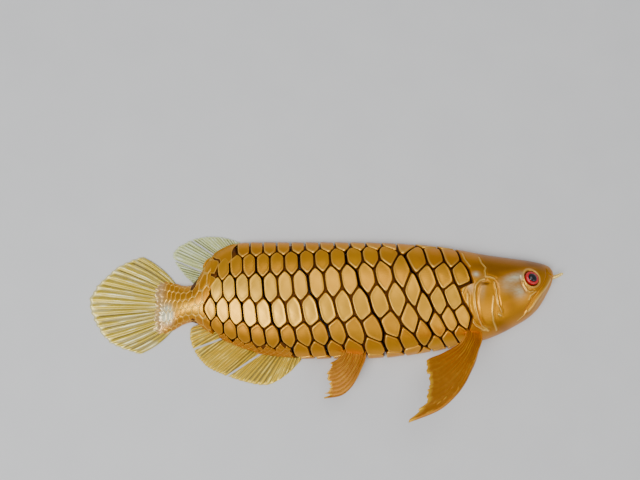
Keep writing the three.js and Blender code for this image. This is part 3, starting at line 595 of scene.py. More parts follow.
def fill_missing(values):
    """Rows where the slot wasn't met take the value of the nearest row that met it."""
    good = np.flatnonzero(~np.isnan(values))
    return np.interp(np.arange(len(values)), good, values[good])


# Shader helpers

class Wire:
    """A socket or a number in a node tree. Its arithmetic adds Math nodes."""

    def __init__(self, tree, socket):
        self.tree = tree
        self.socket = socket

    def _math(self, operation, *values):
        return node(self.tree, "ShaderNodeMath", {"operation": operation}, dict(enumerate(values)))

    def __add__(self, other):
        return self._math("ADD", self, other)

    def __radd__(self, other):
        return self._math("ADD", other, self)

    def __sub__(self, other):
        return self._math("SUBTRACT", self, other)

    def __rsub__(self, other):
        return self._math("SUBTRACT", other, self)

    def __mul__(self, other):
        return self._math("MULTIPLY", self, other)

    def __rmul__(self, other):
        return self._math("MULTIPLY", other, self)

    def clamp(self, low=0.0, high=1.0):
        return node(self.tree, "ShaderNodeClamp", {}, {"Value": self, "Min": low, "Max": high})

    def sine(self):
        return self._math("SINE", self)


def node(tree, kind, settings, values, output=0):
    """Adds a node: its settings are set first, then its sockets get values or links. Returns one output."""
    made = tree.nodes.new(kind)
    for key, value in settings.items():
        setattr(made, key, value)
    for key, value in values.items():
        socket = made.inputs[key]
        if isinstance(value, Wire):
            tree.links.new(value.socket, socket)
        else:
            socket.default_value = value
    return Wire(tree, made.outputs[output]) if made.outputs else made


def mix(tree, factor, a, b):
    """Mixes two colours."""
    return node(tree, "ShaderNodeMix", {"data_type": "RGBA"}, {0: factor, 6: a, 7: b}, 2)


def colour(rgb):
    """Colour with full opacity."""
    return (*rgb, 1.0)


def new_material(name):
    """Empty material; returns it with its tree, Object coordinates and their z in millimetres."""
    material = bpy.data.materials.new(name)
    material.use_nodes = True
    tree = material.node_tree
    tree.nodes.clear()
    place = node(tree, "ShaderNodeTexCoord", {}, {}, "Object")
    height = node(tree, "ShaderNodeSeparateXYZ", {}, {0: place}, 2) * 1000.0
    return material, tree, place, height


def noise(tree, place, scale, detail=2.0):
    """Noise on Object coordinates; scale is per metre."""
    return node(tree, "ShaderNodeTexNoise", {}, {"Vector": place, "Scale": scale, "Detail": detail}, 0)


def attribute(tree, name):
    """A mark of the mesh as a value."""
    return node(tree, "ShaderNodeAttribute", {"attribute_name": name}, {}, "Fac")


def facing_up(tree):
    """z of the surface's own direction."""
    geometry = node(tree, "ShaderNodeNewGeometry", {}, {}, "Normal")
    return node(tree, "ShaderNodeSeparateXYZ", {}, {0: geometry}, 2)


def layer_lines(tree, height, place):
    """Fine steps of the print: a sine of the height, kept to surfaces that lie nearly flat."""
    wobble = noise(tree, place, 90.0) * 0.10
    steps = ((height + wobble) * (2 * np.pi / LAYER)).sine()
    flat = ((facing_up(tree) - 0.55) * 2.6).clamp()
    return steps * flat


def finish(tree, base, roughness, bump, depth, metallic, coat):
    """Principled surface and output; depth is the bump's height in metres."""
    normal = node(tree, "ShaderNodeBump", {}, {"Strength": 1.0, "Distance": depth, "Height": bump}, 0)
    values = {"Base Color": base, "Roughness": roughness, "Metallic": metallic, "Coat Weight": coat,
              "Coat Roughness": 0.22, "Normal": normal}
    surface = node(tree, "ShaderNodeBsdfPrincipled", {}, values, 0)
    node(tree, "ShaderNodeOutputMaterial", {}, {"Surface": surface})


def settings():
    """The sizes and colours of the panel."""
    return bpy.context.scene.fish_half


def gold_material():
    """Silk gold print: deeper in random patches; painted highlights along the rims and in patches, painted
    sheen, painted shade on the head, and painted shade down the sides into the grooves.
    """
    material, tree, place, height = new_material("silk_gold")
    look = settings()
    broad = noise(tree, place, 28.0)
    fine = noise(tree, place, 420.0, 3.0)
    base = mix(tree, ((broad - 0.35) * 2.2).clamp(), colour(look.gold_deep), colour(look.gold))
    # Painted sheen towards the paler gold
    base = mix(tree, attribute(tree, "sheen").clamp(), base, colour(look.gold_painted_sheen))
    # Painted highlight patches on the head and at the tail's root
    base = mix(tree, attribute(tree, "frost").clamp(), base, colour(look.gold_painted_highlight))
    # Painted shade on the head's crown and in patches, over a slightly deeper tone
    base = mix(tree, attribute(tree, "deep").clamp(), base, colour([c * 0.45 for c in look.gold_deep]))
    # Painted highlight along the rims of scales, pads, the tail's cells and the head's crests
    base = mix(tree, attribute(tree, "rim") * 0.8, base, colour(look.gold_rim_highlight))
    # Painted shade in the grooves and on the scales' sunk sides
    base = mix(tree, attribute(tree, "low"), base, colour(look.groove))
    lines = layer_lines(tree, height, place)
    finish(tree, base, fine * 0.12 + 0.33, lines * 0.12 + fine * 0.2, 0.00004, metallic=0.85, coat=0.0)
    return material


def link_material():
    """The links under the scales: painted shade between the scales, gold on the flat back."""
    material, tree, place, height = new_material("silk_gold_core_painted_shade")
    look = settings()
    under = ((height * -1.0 + 0.12) * 12.0).clamp()
    speckle = noise(tree, place, 300.0)
    # Painted shade, speckled, everywhere but the flat back
    base = mix(tree, speckle, colour(look.groove), colour([c * 1.5 for c in look.groove]))
    base = mix(tree, under, base, colour(look.gold))
    finish(tree, base, speckle * 0.1 + 0.5, speckle, 0.00004, metallic=0.8, coat=0.0)
    return material


def fin_material(name, base_colour, painted_sheen_colour, painted_shade_colour, metallic=0.4):
    """Thin ribbed print: painted sheen in streaks along the rays, painted shade in the narrow lines between
    them.
    """
    material, tree, place, _ = new_material(name)
    fine = noise(tree, place, 420.0, 3.0)
    # Painted sheen along the ridges and at the outer edges
    base = mix(tree, attribute(tree, "ridge").clamp(), colour(base_colour), colour(painted_sheen_colour))
    base = mix(tree, (fine - 0.45).clamp() * 0.5, base, colour(painted_sheen_colour))
    # Painted shade in the narrow lines between the rays
    base = mix(tree, attribute(tree, "line").clamp(), base, colour(painted_shade_colour))
    finish(tree, base, fine * 0.12 + 0.3, fine, 0.00004, metallic=metallic, coat=0.15)
    return material


def plain_material(name, base_colour, roughness, metallic=0.0, coat=0.5):
    """Smooth print or paint with a faint grain."""
    material, tree, place, _ = new_material(name)
    fine = noise(tree, place, 500.0)
    base = mix(tree, fine * 0.25, colour(base_colour), colour([c * 0.7 for c in base_colour]))
    finish(tree, base, fine * 0.05 + roughness, fine, 0.00001, metallic=metallic, coat=coat)
    return material


MATERIALS = {}


def material_of(name):
    """Makes each finish once."""
    look = settings()
    makers = {
        "gold": gold_material,
        "core": link_material,
        "caudal": lambda: fin_material("olive_gold_fin", look.fin_web, look.fin_painted_sheen, look.fin_painted_shade),
        # The back fin is the same gold, painted pale and greenish as reflected light
        "dorsal": lambda: fin_material("back_fin_gold_with_painted_sheen", look.back_fin_web_painted_sheen, look.back_fin_painted_sheen, look.clear_line,
                                       0.1),
        "anal": lambda: fin_material("gold_fin", look.belly_web, look.belly_fin_painted_sheen, look.fin_painted_shade),
        "amber": lambda: fin_material("amber_fin", look.amber_web, look.side_fin_painted_sheen, look.side_fin_painted_shade, 0.5),
        "red": lambda: plain_material("red_ring", look.eye_red, 0.22),
        "black": lambda: plain_material("black_pupil", (0.004, 0.004, 0.006), 0.1, coat=0.2),
        "pale": lambda: plain_material("pale_gold", look.feeler, 0.3, 0.3),
    }
    if name not in MATERIALS:
        MATERIALS[name] = makers[name]()
    return MATERIALS[name]


def tint(label, rgb):
    """A colour that a user can change."""
    return FloatVectorProperty(name=label, description=f"Colour of the {label.lower()}", subtype="COLOR",
                               size=3, min=0, max=1, default=rgb)


def ray_count(label, fin, default, least=5, most=60):
    """A number of ridges that a user can change."""
    return IntProperty(name=label, description=f"Ridges across the {fin}", default=default,
                       min=least, max=most)


class FishHalfSettings(bpy.types.PropertyGroup):
    """Sizes and colours of the printed half."""
    gold: tint("Gold", (0.78, 0.34, 0.004))
    gold_deep: tint("Deep gold", (0.6, 0.22, 0.002))
    # Colour of the painted sheen
    gold_painted_sheen: tint("Sheen", (0.95, 0.52, 0.04))
    # Colour of the painted highlights
    gold_painted_highlight: tint("Frost", (1.0, 0.92, 0.6))
    # Colour of the painted rim highlights
    gold_rim_highlight: tint("Rim highlights", (1.0, 0.62, 0.12))
    # Colour of the painted shade in the grooves
    groove: tint("Groove shade", (0.1, 0.03, 0.001))
    fin_web: tint("Tail fin web", (0.62, 0.45, 0.03))
    fin_painted_sheen: tint("Tail fin painted sheen", (0.95, 0.86, 0.42))
    fin_painted_shade: tint("Tail fin painted shade lines", (0.12, 0.08, 0.004))
    belly_web: tint("Belly fin web", (0.66, 0.42, 0.01))
    belly_fin_painted_sheen: tint("Belly fin painted sheen", (0.92, 0.7, 0.12))
    # Back fin web: the fin's gold with painted sheen, pale and greenish where the flat fin reflects the light
    back_fin_web_painted_sheen: tint("Back fin web with painted sheen", (0.62, 0.66, 0.26))
    back_fin_painted_sheen: tint("Back fin painted sheen", (0.78, 0.84, 0.64))
    clear_line: tint("Back fin painted shade lines", (0.08, 0.085, 0.015))
    amber_web: tint("Side fin web", (0.46, 0.16, 0.0))
    side_fin_painted_sheen: tint("Side fin painted sheen", (0.85, 0.46, 0.01))
    side_fin_painted_shade: tint("Side fin painted shade lines", (0.34, 0.12, 0.0))
    feeler: tint("Feeler", (0.9, 0.66, 0.16))
    eye_red: tint("Eye ring", (0.55, 0.01, 0.012))
    scale_tilt: FloatProperty(name="Scale tilt", description="How far a scale's rear edge stands out",
                              default=0.16, min=0, max=0.4)
    scale_groove: FloatProperty(name="Groove", description="Gap between two scales at mid body",
                                default=1.1, min=0.3, max=2)
    caudal_rays: ray_count("Tail rays", "tail fin", 21)
    dorsal_rays: ray_count("Back fin rays", "back fin", 30)
    anal_rays: ray_count("Belly fin rays", "belly fin", 34)
    pectoral_rays: ray_count("Side fin rays", "side fin", 10, 3, 40)
    key_power: FloatProperty(name="Key light", description="Power of the three lights together",
                             default=10.5, min=0, max=100, subtype="POWER")


class FISH_OT_scales(bpy.types.Operator):
    """Makes the raised scales of every link"""
    bl_idname = "fish.scales"
    bl_label = "Scales"

    def execute(self, context):
        x, t, link, shown = scale_sites()
        angles = np.linspace(0, 2 * np.pi, 96, endpoint=False)
        few = angles[::3]
        groove = TAIL_GROOVE + (settings().scale_groove - TAIL_GROOVE) * smooth_step(x, -52, -10)
        reach = scale_reach(x, t, link, angles, groove / 2 - 0.03)
        small_x, small_t, small_link, owner = root_sites(x, t, link, shown)
        small_reach = root_reach((small_x, small_t), owner, small_link, x, t, shown, few)
        whole = (small_reach.min(1) > SMALL_REACH_MIN) & (small_reach.max(1) < SMALL_PITCH)
        wide = whole & (small_x > SMALL_START)
        for k, (node_name, body) in enumerate(zip(LINKS, BODIES)):
            big = (x, t, reach, angles, settings().scale_tilt, 0.0, 1.0)
            small = (small_x, small_t, small_reach, few, 0.03, 0.1, 0.8)
            for label, mine, (sx, st, r, ring, tilt, sink, height) in (
                ("scales", shown & (link == k), big),
                ("small_scales", wide & (small_link == k), small),
            ):
                if mine.any():
                    shell, marks = scale_shells(sx[mine], st[mine], r[mine], ring, tilt, sink, height)
                    make_piece(f"{label}_{node_name}", shell, body, material_of("gold"),
                               marks=marks)
            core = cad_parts[node_name]
            core.data.materials.clear()
            core.data.materials.append(material_of("core"))
        return {"FINISHED"}


def point_in_rings(outline, shares, count=72):
    """Rings at shares of the way from a plan outline's middle to the outline."""
    path = smooth_path([*outline, outline[0]])
    edge = path(np.linspace(0, 1, count, endpoint=False))[:, :2]
    middle = edge.mean(0)
    return middle + np.array(shares)[:, None, None] * (edge - middle), middle


class FISH_OT_root_pads(bpy.types.Operator):
    """Makes the pads over the root of the back fin"""
    bl_idname = "fish.root_pads"
    bl_label = "Root pads"

    def execute(self, context):
        shares = np.array([1.0, 1.0, 0.985, 0.95, 0.88, 0.75, 0.55, 0.3])
        foot = np.array([0.02, 1.2, 1.75, 1.95, 2.0, 2.0, 2.05, 2.1])
        for body, outline in ROOT_PADS:
            plan, middle = point_in_rings(outline, shares)

            def lifted(p, height):
                across = (p[..., 1] - (back_at(p[..., 0]) + belly_at(p[..., 0])) / 2) / half_at(p[..., 0])
                skin = high_at(p[..., 0]) * np.sqrt(np.clip(1 - across**2, 0, 1))
                bump = 0.3 * value_noise(p[..., 0] * 0.45 + 7, p[..., 1] * 0.45, 5.0)
                return np.where(height > 1, np.maximum(height + bump, skin + 0.12), height)
            z = lifted(plan, foot[:, None] + 0 * plan[..., 0])
            rings = np.concatenate([plan, z[..., None]], -1)
            start = np.array([*middle, 0.02])
            end = np.array([*middle, float(lifted(middle, np.array(2.1)))])
            shell = closed_turn(rings, start, end)
            # Painted highlight along the pad's rim
            rim = np.interp(shares, [0.88, 0.95, 0.985, 1.0], [0, 0.5, 0.9, 0.4])
            rim[0] = 0
            rim = np.concatenate([np.repeat(rim, plan.shape[1]), [0, 0]])
            make_piece(f"root_pad_{body}", shell, body, material_of("gold"),
                       marks={"rim": rim})
        return {"FINISHED"}


def brick_cells(u, v):
    """Staggered cells: 1 on a border and 0 inside, 1 - (second - first centre's distance) / 0.34."""
    centres = []
    for dj in (-1, 0, 1):
        j = np.round(v) + dj
        shift = 0.5 * (j % 2)
        for di in (-1, 0, 1):
            i = np.round(u - shift) + di
            centres.append((u - i - shift) ** 2 + ((v - j) * 0.9) ** 2)
    far = np.sort(np.sqrt(np.stack(centres)), axis=0)
    return np.clip(1 - (far[1] - far[0]) / 0.34, 0, 1)


def arch_marks(**values):
    """Marks on a closed arch: a value per point of its grid, and none at its two ends."""
    return {key: np.concatenate([grid.ravel(), np.zeros(2)]) for key, grid in values.items()}


class FISH_OT_tail(bpy.types.Operator):
    """Makes the narrow root of the tail with its small scales"""
    bl_idname = "fish.tail"
    bl_label = "Tail root"

    def execute(self, context):
        xs = np.linspace(TAIL_SKIN[0], TAIL_SKIN[1], 330)
        ts = np.linspace(0, 180, 260)
        x, t = np.meshgrid(xs, ts, indexing="ij")
        site_x, site_t, _, shown = scale_sites()
        close = site_x < -35
        gap = border_gap(x, t, site_x[close], site_t[close], ~shown[close])
        # Columns narrow from 4.1 mm beside the scales to 1.8 mm at the fin
        column = np.log((x + 95.0) / 41.0) / np.log(40.0 / 36.4)
        row = (t - 90 - 0.25 * (x + 60)) / 25.0
        border = brick_cells(column, row)
        fade = smooth_step(x, -77.0, -73.5) * (1 - smooth_step(x, -53.5, -51.5))
        sunk = (1 - smooth_step(gap, 0.2, 0.5)) * smooth_step(x, -61.0, -60.0)
        sunk = np.maximum(sunk, smooth_step(x, -52.5, -51.0))
        dome = 1 - border
        depth = -0.1 - (0.16 * dome + 0.3 * smooth_step(border, 0.45, 0.9)) * fade
        depth = depth + 2.2 * sunk
        upper = flank(x, t, depth)
        flare = smooth_step(-x, 76.1, -TAIL_SKIN[0])
        upper[..., 2] = upper[..., 2] * (1 - flare) + 1.0 * flare * np.sin(np.radians(t))
        torn = smooth_step(-x, 73.0, -TAIL_SKIN[0])
        upper[..., 0] -= torn * 2.4 * value_noise(0 * x, t * 0.22, 8.0)
        # Painted highlight along the borders of the tail's small cells
        rim = smooth_step(border, 0.35, 0.8) * fade * 0.85
        glare = np.exp(-((x + 73.2) / 2.4) ** 2 - ((upper[..., 1] + 0.4) / 3.6) ** 2)
        uneven = 0.75 * (0.6 + 0.5 * value_noise(x * 1.1, t * 0.2))
        # Painted sheen: a pale, uneven band along the middle of the tail root
        sheen = np.clip(np.exp(-((upper[..., 1] - 2.8) / 3.4) ** 2) * uneven, 0, 1)
        # Painted highlight: the glare spot at the root of the tail fin, and a paler torn end
        frost = np.clip(2.2 * glare + 0.45 * torn, 0, 1)
        # low: painted shade where the skin sinks between the scales
        marks = arch_marks(rim=rim, low=smooth_step(sunk, 0.4, 0.9), sheen=sheen, frost=frost)
        make_piece("tail_root_skin", closed_arch(upper), "tail", material_of("gold"),
                   marks=marks)
        return {"FINISHED"}


# Head features in plan, in the drawing's millimetres: a path, how tall and how wide
HEAD_LINES = {
    "collar": (((66.2, 13.2), (64.4, 11.6), (63.1, 8.9), (63.4, 5.8), (65.2, 2.8)), 0.3, 0.32),
    "gill_crest": (((65.9, 9.2), (65.8, 4.4), (66.7, 0.6), (67.8, -2.9), (70.0, -5.3), (74.1, -7.2),
                    (76.8, -7.4)), 0.5, 0.36),
    "cover_crest": (((74.4, 15.6), (72.0, 14.9), (70.0, 13.1), (69.0, 9.6), (69.0, 5.8), (69.5, 2.4),
                     (70.8, -1.8), (72.8, -5.3), (76.3, -7.2)), 0.55, 0.42),
    "cheek_crest": (((78.8, 14.3), (79.1, 11.3), (79.3, 7.8), (79.8, 4.4), (81.5, 0.9)), 0.45, 0.34),
    "cheek_low": (((77.8, 7.8), (77.3, 4.4), (77.2, 0.9), (78.0, -3.3), (80.8, -7.6)), 0.3, 0.34),
    "nape_crest": (((74.6, 26.1), (74.6, 23.3), (76.1, 21.0), (75.2, 19.5), (75.2, 16.8), (77.0, 16.7),
                    (79.3, 15.9)), 0.35, 0.34),
    "collar_back": (((66.9, 28.0), (66.9, 25.1), (68.7, 21.7)), 0.35, 0.3),
    "eye_crest": (((92.6, 14.4), (92.9, 12.6), (94.1, 10.7), (95.6, 9.9), (97.2, 10.3)), 0.35, 0.3),
    "jaw_crest": (((107.8, 15.8), (105.4, 12.9), (101.9, 9.6), (99.1, 6.1), (97.4, 3.3),
                   (95.7, 1.3)), 0.4, 0.5),
    "jaw_fold": (((98.8, 10.0), (95.9, 8.2), (95.1, 6.4)), 0.3, 0.32),
    "chin_fold": (((94.8, 1.2), (93.9, -0.4), (91.0, -3.2)), 0.2, 0.3),
    "spot": (((80.4, -0.2), (81.2, -0.6)), 0.3, 0.5),
}
HEAD_GROOVES = {
    "behind_cover": (((75.6, 13.8), (72.6, 13.4), (71.2, 11.8), (70.5, 8.6), (70.4, 5.0), (71.0, 1.6),
                      (72.3, -2.4), (74.4, -5.2)), 0.3, 0.6),
    "cover_brown": (((73.4, 14.4), (75.8, 14.3)), 0.3, 0.7),
    "cheek_shadow": (((79.9, 13.6), (80.2, 8.0), (80.9, 4.4)), 0.22, 0.45),
    "under_eye": (((91.7, 17.0), (91.9, 13.2), (93.3, 10.3)), 0.3, 0.4),
    "mouth": (((106.9, 20.4), (105.9, 17.2), (103.3, 13.6), (100.2, 10.4), (97.2, 6.8), (95.0, 3.3),
               (93.6, 0.4)), 0.4, 0.42),
    "gape": (((112.3, 17.8), (109.6, 17.4), (107.0, 18.6)), 0.35, 0.4),
}
# Patches of painted highlight and of painted shade: x, y, reach along and across, turn in degrees, strength
HEAD_HIGHLIGHT_PATCHES = (
    (89.2, 16.4, 5.2, 1.7, 14, 0.9), (90.2, 10.2, 3.0, 3.0, 0, 0.6), (70.8, 17.9, 1.5, 1.1, 10, 0.9),
    (73.0, 11.4, 1.4, 5.0, -12, 0.2), (84.5, 12.0, 3.0, 2.4, 0, 0.3), (102.5, 7.6, 7.0, 0.8, 55, 0.3),
    (67.4, 12.0, 1.6, 2.6, 0, 0.3),
)
# Patches of painted shade on the head
HEAD_SHADE_PATCHES = (
    (75.0, 13.9, 2.2, 0.9, 0, 0.8), (85.0, 4.0, 3.6, 2.8, 0, 0.55), (84.0, -6.5, 8.0, 2.6, -28, 0.45),
    (104.0, 22.0, 6.0, 4.0, 0, 0.6), (80.5, 17.5, 3.0, 1.2, 0, 0.4), (72.0, 22.0, 4.0, 1.5, 0, 0.3),
)


def patches(x, y, spots):
    """Sum of turned Gaussian patches."""
    total = np.zeros_like(x)
    for px, py, long, wide, turn, strength in spots:
        c, s = np.cos(np.radians(turn)), np.sin(np.radians(turn))
        u, v = (x - px) * c + (y - py) * s, (y - py) * c - (x - px) * s
        total = total + strength * np.exp(-(u / long) ** 2 - (v / wide) ** 2)
    return np.clip(total, 0, 1)


def collar_start(t):
    """Where the head's skin begins at each t: the first x well inside the bare cells of the collar."""
    site_x, site_t, _, shown = scale_sites()
    close = site_x > 45
    x, tt = np.meshgrid(np.linspace(60, 78, 241), t, indexing="ij")
    gap = border_gap(x, tt, site_x[close], site_t[close], ~shown[close])
    inside = gap > 0.42
    start = x[np.argmax(inside, 0), 0]
    return np.convolve(np.pad(start, 1, mode="edge"), [0.25, 0.5, 0.25], "valid")


class FISH_OT_head(bpy.types.Operator):
    """Makes the head with its gill cover, cheek, jaw and eye socket"""
    bl_idname = "fish.head"
    bl_label = "Head"

    def execute(self, context):
        u = np.linspace(0, 1, 330)[:, None]
        t = np.linspace(0, 180, 290)[None, :]
        start = collar_start(t[0])[None, :]
        x = start + (SNOUT - start) * u ** 0.9
        plan = flank(x, t)
        px, py = plan[..., 0], plan[..., 1]
        lift = 0.12 * np.ones_like(x)
        # marks: painted highlight on the head's crests and round the eye socket
        marks = np.zeros_like(x)
        for path, tall, wide in HEAD_LINES.values():
            away = to_line(px, py, path)
            ridge = np.exp(-(away / wide) ** 2)
            lift = lift + tall * ridge - 0.35 * tall * np.exp(-((away - 2.1 * wide) / (1.1 * wide)) ** 2)
            marks = np.maximum(marks, ridge)
        for path, deep, wide in HEAD_GROOVES.values():
            lift = lift - deep * np.exp(-(to_line(px, py, path) / wide) ** 2)
        away = np.hypot(px - EYE[0], py - EYE[1])
        socket = np.exp(-((away - 4.0) / 0.5) ** 2)
        lift = lift + 0.5 * socket - 1.5 * (1 - smooth_step(away, 3.3, 3.7))
        marks = np.maximum(marks, 0.8 * socket)
        rounded = smooth_step(t + 0 * x, 60, 90) * (1 - smooth_step(t + 0 * x, 120, 150))
        cover = smooth_step(px, 66, 72) * (1 - smooth_step(px, 80, 96))
        cheek = np.exp(-((px - 84.5) / 4.5) ** 2 - ((py - 5.0) / 5.5) ** 2)
        lift = lift + 0.3 * cover * rounded + 0.5 * cheek
        end = smooth_step(u + 0 * t, 0.97, 1.0)
        begin = 1 - smooth_step(x - start, 0.0, 0.7)
        upper = flank(x, t, -lift * (1 - end) * (1 - begin) + 0.9 * begin)
        # Painted shade: the crown, where the back faces away from the light, and patches, over a slightly
        # deeper tone on the whole head
        crown_shade = smooth_step(py - 16.8 - (px - 78) * 0.17, 0, 2.6) * smooth_step(px, 72, 78)
        deep = np.clip(patches(px, py, HEAD_SHADE_PATCHES) + 0.5 * crown_shade + 0.2, 0, 1)
        sheen_streak = 0.7 + 0.6 * value_noise(px * 0.9, py * 2.4, 3.0)
        # Painted highlight: pale patches on the head, broken into streaks
        pale = patches(px, py, HEAD_HIGHLIGHT_PATCHES) * sheen_streak
        # low: painted shade where the skin dips under the collar's scales
        marks = arch_marks(rim=marks, low=smooth_step(begin, 0.5, 1.0), frost=pale, deep=deep)
        make_piece("head_skin", closed_arch(upper), "front", material_of("gold"),
                   replaces=("head",), marks=marks)
        return {"FINISHED"}


def eye_frame():
    """Centre of the eye on the flank and three directions, the last one outwards."""
    middle = (back_at(EYE[0]) + belly_at(EYE[0])) / 2
    t = np.degrees(np.arccos((EYE[1] - middle) / half_at(EYE[0])))
    along = flank(EYE[0] + 1, t) - flank(EYE[0] - 1, t)
    around = flank(EYE[0], t - 1) - flank(EYE[0], t + 1)
    out = np.cross(along, around)
    out *= np.sign(out[2]) / np.linalg.norm(out)
    side = along / np.linalg.norm(along)
    return flank(EYE[0], t), side, np.cross(out, side), out


def turned(profile, sides=64):
    """Closed ring or dome turned about the eye's outward direction from (radius, height) pairs."""
    centre, side, up, out = eye_frame()
    angle = np.linspace(0, 2 * np.pi, sides, endpoint=False)
    spoke = np.cos(angle)[:, None] * side + np.sin(angle)[:, None] * up
    profile = np.array(profile)
    rings = centre + profile[:, 0, None, None] * spoke + profile[:, 1, None, None] * out
    return rings, centre, out


class FISH_OT_eye(bpy.types.Operator):
    """Makes the red ring and the black pupil"""
    bl_idname = "fish.eye"
    bl_label = "Eye"

    def execute(self, context):
        a = np.linspace(0, np.pi / 2, 9)
        ring = [(EYE_RING, -1.7)]
        ring += [(EYE_RING - 0.45 + 0.45 * np.cos(k), 0.45 + 0.5 * np.sin(k)) for k in a]
        ring += [(2.45, 1.1), (2.2, 1.15), (EYE_PUPIL + 0.04, 1.0), (EYE_PUPIL + 0.04, -1.7)]
        rings, _, _ = turned(ring)
        points = rings.reshape(-1, 3)
        quads = grid_quads(len(ring) + 1, 64, wrap=True) % len(points)
        make_piece("eye_red_ring", (points, quads, np.zeros((0, 3), int)), "front",
                   material_of("red"), replaces=("eye_ring",))
        dome = [(EYE_PUPIL, -1.6)] + [(EYE_PUPIL * np.cos(k), 0.95 + 0.95 * np.sin(k)) for k in a[:-1]]
        rings, centre, out = turned(dome)
        make_piece("eye_black_pupil", closed_turn(rings, centre - 1.6 * out, centre + 1.9 * out), "front",
                   material_of("black"), replaces=("pupil",))
        return {"FINISHED"}


class FISH_OT_barbel(bpy.types.Operator):
    """Makes the feeler at the tip of the lower jaw"""
    bl_idname = "fish.barbel"
    bl_label = "Feeler"

    def execute(self, context):
        path = smooth_path(BARBEL)
        u = np.linspace(0, 1, 24)
        centre = path(u)
        along = np.gradient(centre, axis=0)
        along /= np.linalg.norm(along, axis=1, keepdims=True)
        side = np.cross(along, (0, 0, 1.0))
        side /= np.linalg.norm(side, axis=1, keepdims=True)
        up = np.cross(side, along)
        angle = np.linspace(0, 2 * np.pi, 20, endpoint=False)
        radius = (1.15 - 0.5 * u ** 0.8) * np.sqrt(1 - smooth_step(u, 0.93, 1.02) * 0.7)
        spoke = np.cos(angle)[None, :, None] * side[:, None] + np.sin(angle)[None, :, None] * up[:, None]
        rings = centre[:, None] + radius[:, None, None] * spoke
        make_piece("feeler", closed_turn(rings, centre[0] - 0.3 * along[0], centre[-1] + 0.2 * along[-1]),
                   "front", material_of("pale"), replaces=("barbel",))
        return {"FINISHED"}


def ray_pattern(a, b, rays, seed):
    """Uneven rays: ridge height, pale streaks of painted sheen and dark lines of painted shade for ray
    position a and way out b.
    """
    uneven = a + 0.25 / rays * (value_noise(a * rays * 0.7, 0 * a, seed) - 0.5)
    ridge = ray_profile(uneven, rays)
    strength = value_noise(np.floor(uneven * rays) * 7.3, 0 * a + 3.1, seed)
    sheen_streak = value_noise(a * rays * 2.6, b * 5.0, seed + 2) * 0.7
    sheen_streak = sheen_streak + value_noise(a * rays * 6.0, b * 12.0, seed + 4) * 0.3
    pale = smooth_step(sheen_streak, 0.45, 0.8) * (0.45 + 0.55 * ridge)
    # Painted shade in the valleys between the ridges
    line = smooth_step(1 - ridge, 0.64, 0.96) * (0.35 + 0.65 * smooth_step(strength, 0.2, 0.7))
    return ridge, pale, line


def fin_part(name, place, rays, body, material, node_name, low, high, columns, seed, rim=0.35):
    """A stretch of a flat fin between two ray positions, with ridges above and a flat face below."""
    b = np.linspace(0, 1, 48)
    across = np.linspace(0, 1, columns)
    lo, hi = low(b)[:, None], high(b)[:, None]
    a = lo + (hi - lo) * across[None, :]
    bb = b[:, None] + 0 * a
    ridge, pale, line = ray_pattern(a, bb, rays, seed)
    notch = 0.5 * (1 - ridge) + 0.8 * value_noise(a * rays * 2.3, 0 * a, seed + 9)
    reach = bb * (1 - 0.02 * notch * smooth_step(bb, 0.85, 1))
    base = place(a, reach)
    upper = base.copy()
    upper[..., 2] = (0.55 + 0.6 * ridge * (1 - 0.45 * bb)) * (1 - 0.25 * smooth_step(bb, 0.9, 1))
    lower = base.copy()
    lower[..., 2] = 0
    flat = np.zeros(ridge.size)
    # Painted highlight along the fin's outer edge, as strong as rim
    edge = smooth_step(bb, 0.955, 0.99) * rim
    # Painted shade in the lines between the rays, fading out near the rim
    shade_lines = line * SHADE_LINE_SHARE * (1 - smooth_step(bb, 0.9, 0.98))
    marks = {"ridge": np.concatenate([np.maximum(pale, edge).ravel(), flat]),
             "line": np.concatenate([shade_lines.ravel(), flat])}
    make_piece(name, closed_sheet(upper, lower), body, material_of(material),
               replaces=(node_name,), marks=marks)


class FISH_OT_flat_fins(bpy.types.Operator):
    """Makes the tail, back and belly fins"""
    bl_idname = "fish.flat_fins"
    bl_label = "Flat fins"

    def execute(self, context):
        look = settings()
        fin_part("tail_fin_rays", flat_fin(CAUDAL_ROOT, CAUDAL_RIM, bow=1.7), look.caudal_rays, "tail",
                 "caudal", "caudal_fin", lambda b: 0 * b, lambda b: 0 * b + 1, columns=640,
                 seed=4.0, rim=0.8)
        half = SLOT_GAP / 2
        for kind, root, rim, skew, slots, rays, slot, seed in (
            ("dorsal", DORSAL_ROOT, DORSAL_RIM, 0.0, DORSAL_SLOTS, look.dorsal_rays, "clear_pale_print", 7.0),
            ("anal", ANAL_ROOT, ANAL_RIM, 1.3, ANAL_SLOTS, look.anal_rays, "pale_gold_print", 11.0),
        ):
            place = flat_fin(root, rim, skew=skew)

            def edge(index, offset, path=slots, place=place):
                return lambda b: fill_missing(slot_share(place, b, path[index], offset))
            first, last = (lambda b: 0 * b), (lambda b: 0 * b + 1)
            for part, body, low, high in (
                ("front", "link_2", first, edge(1, half)),
                ("middle", "link_1", edge(1, -half), edge(0, half)),
                ("rear", "tail", edge(0, -half), last),
            ):
                fin_part(f"{kind}_rays_{part}", place, rays, body, kind, f"{kind}_fin_{part}",
                         low, high, columns=360, seed=seed)
        return {"FINISHED"}


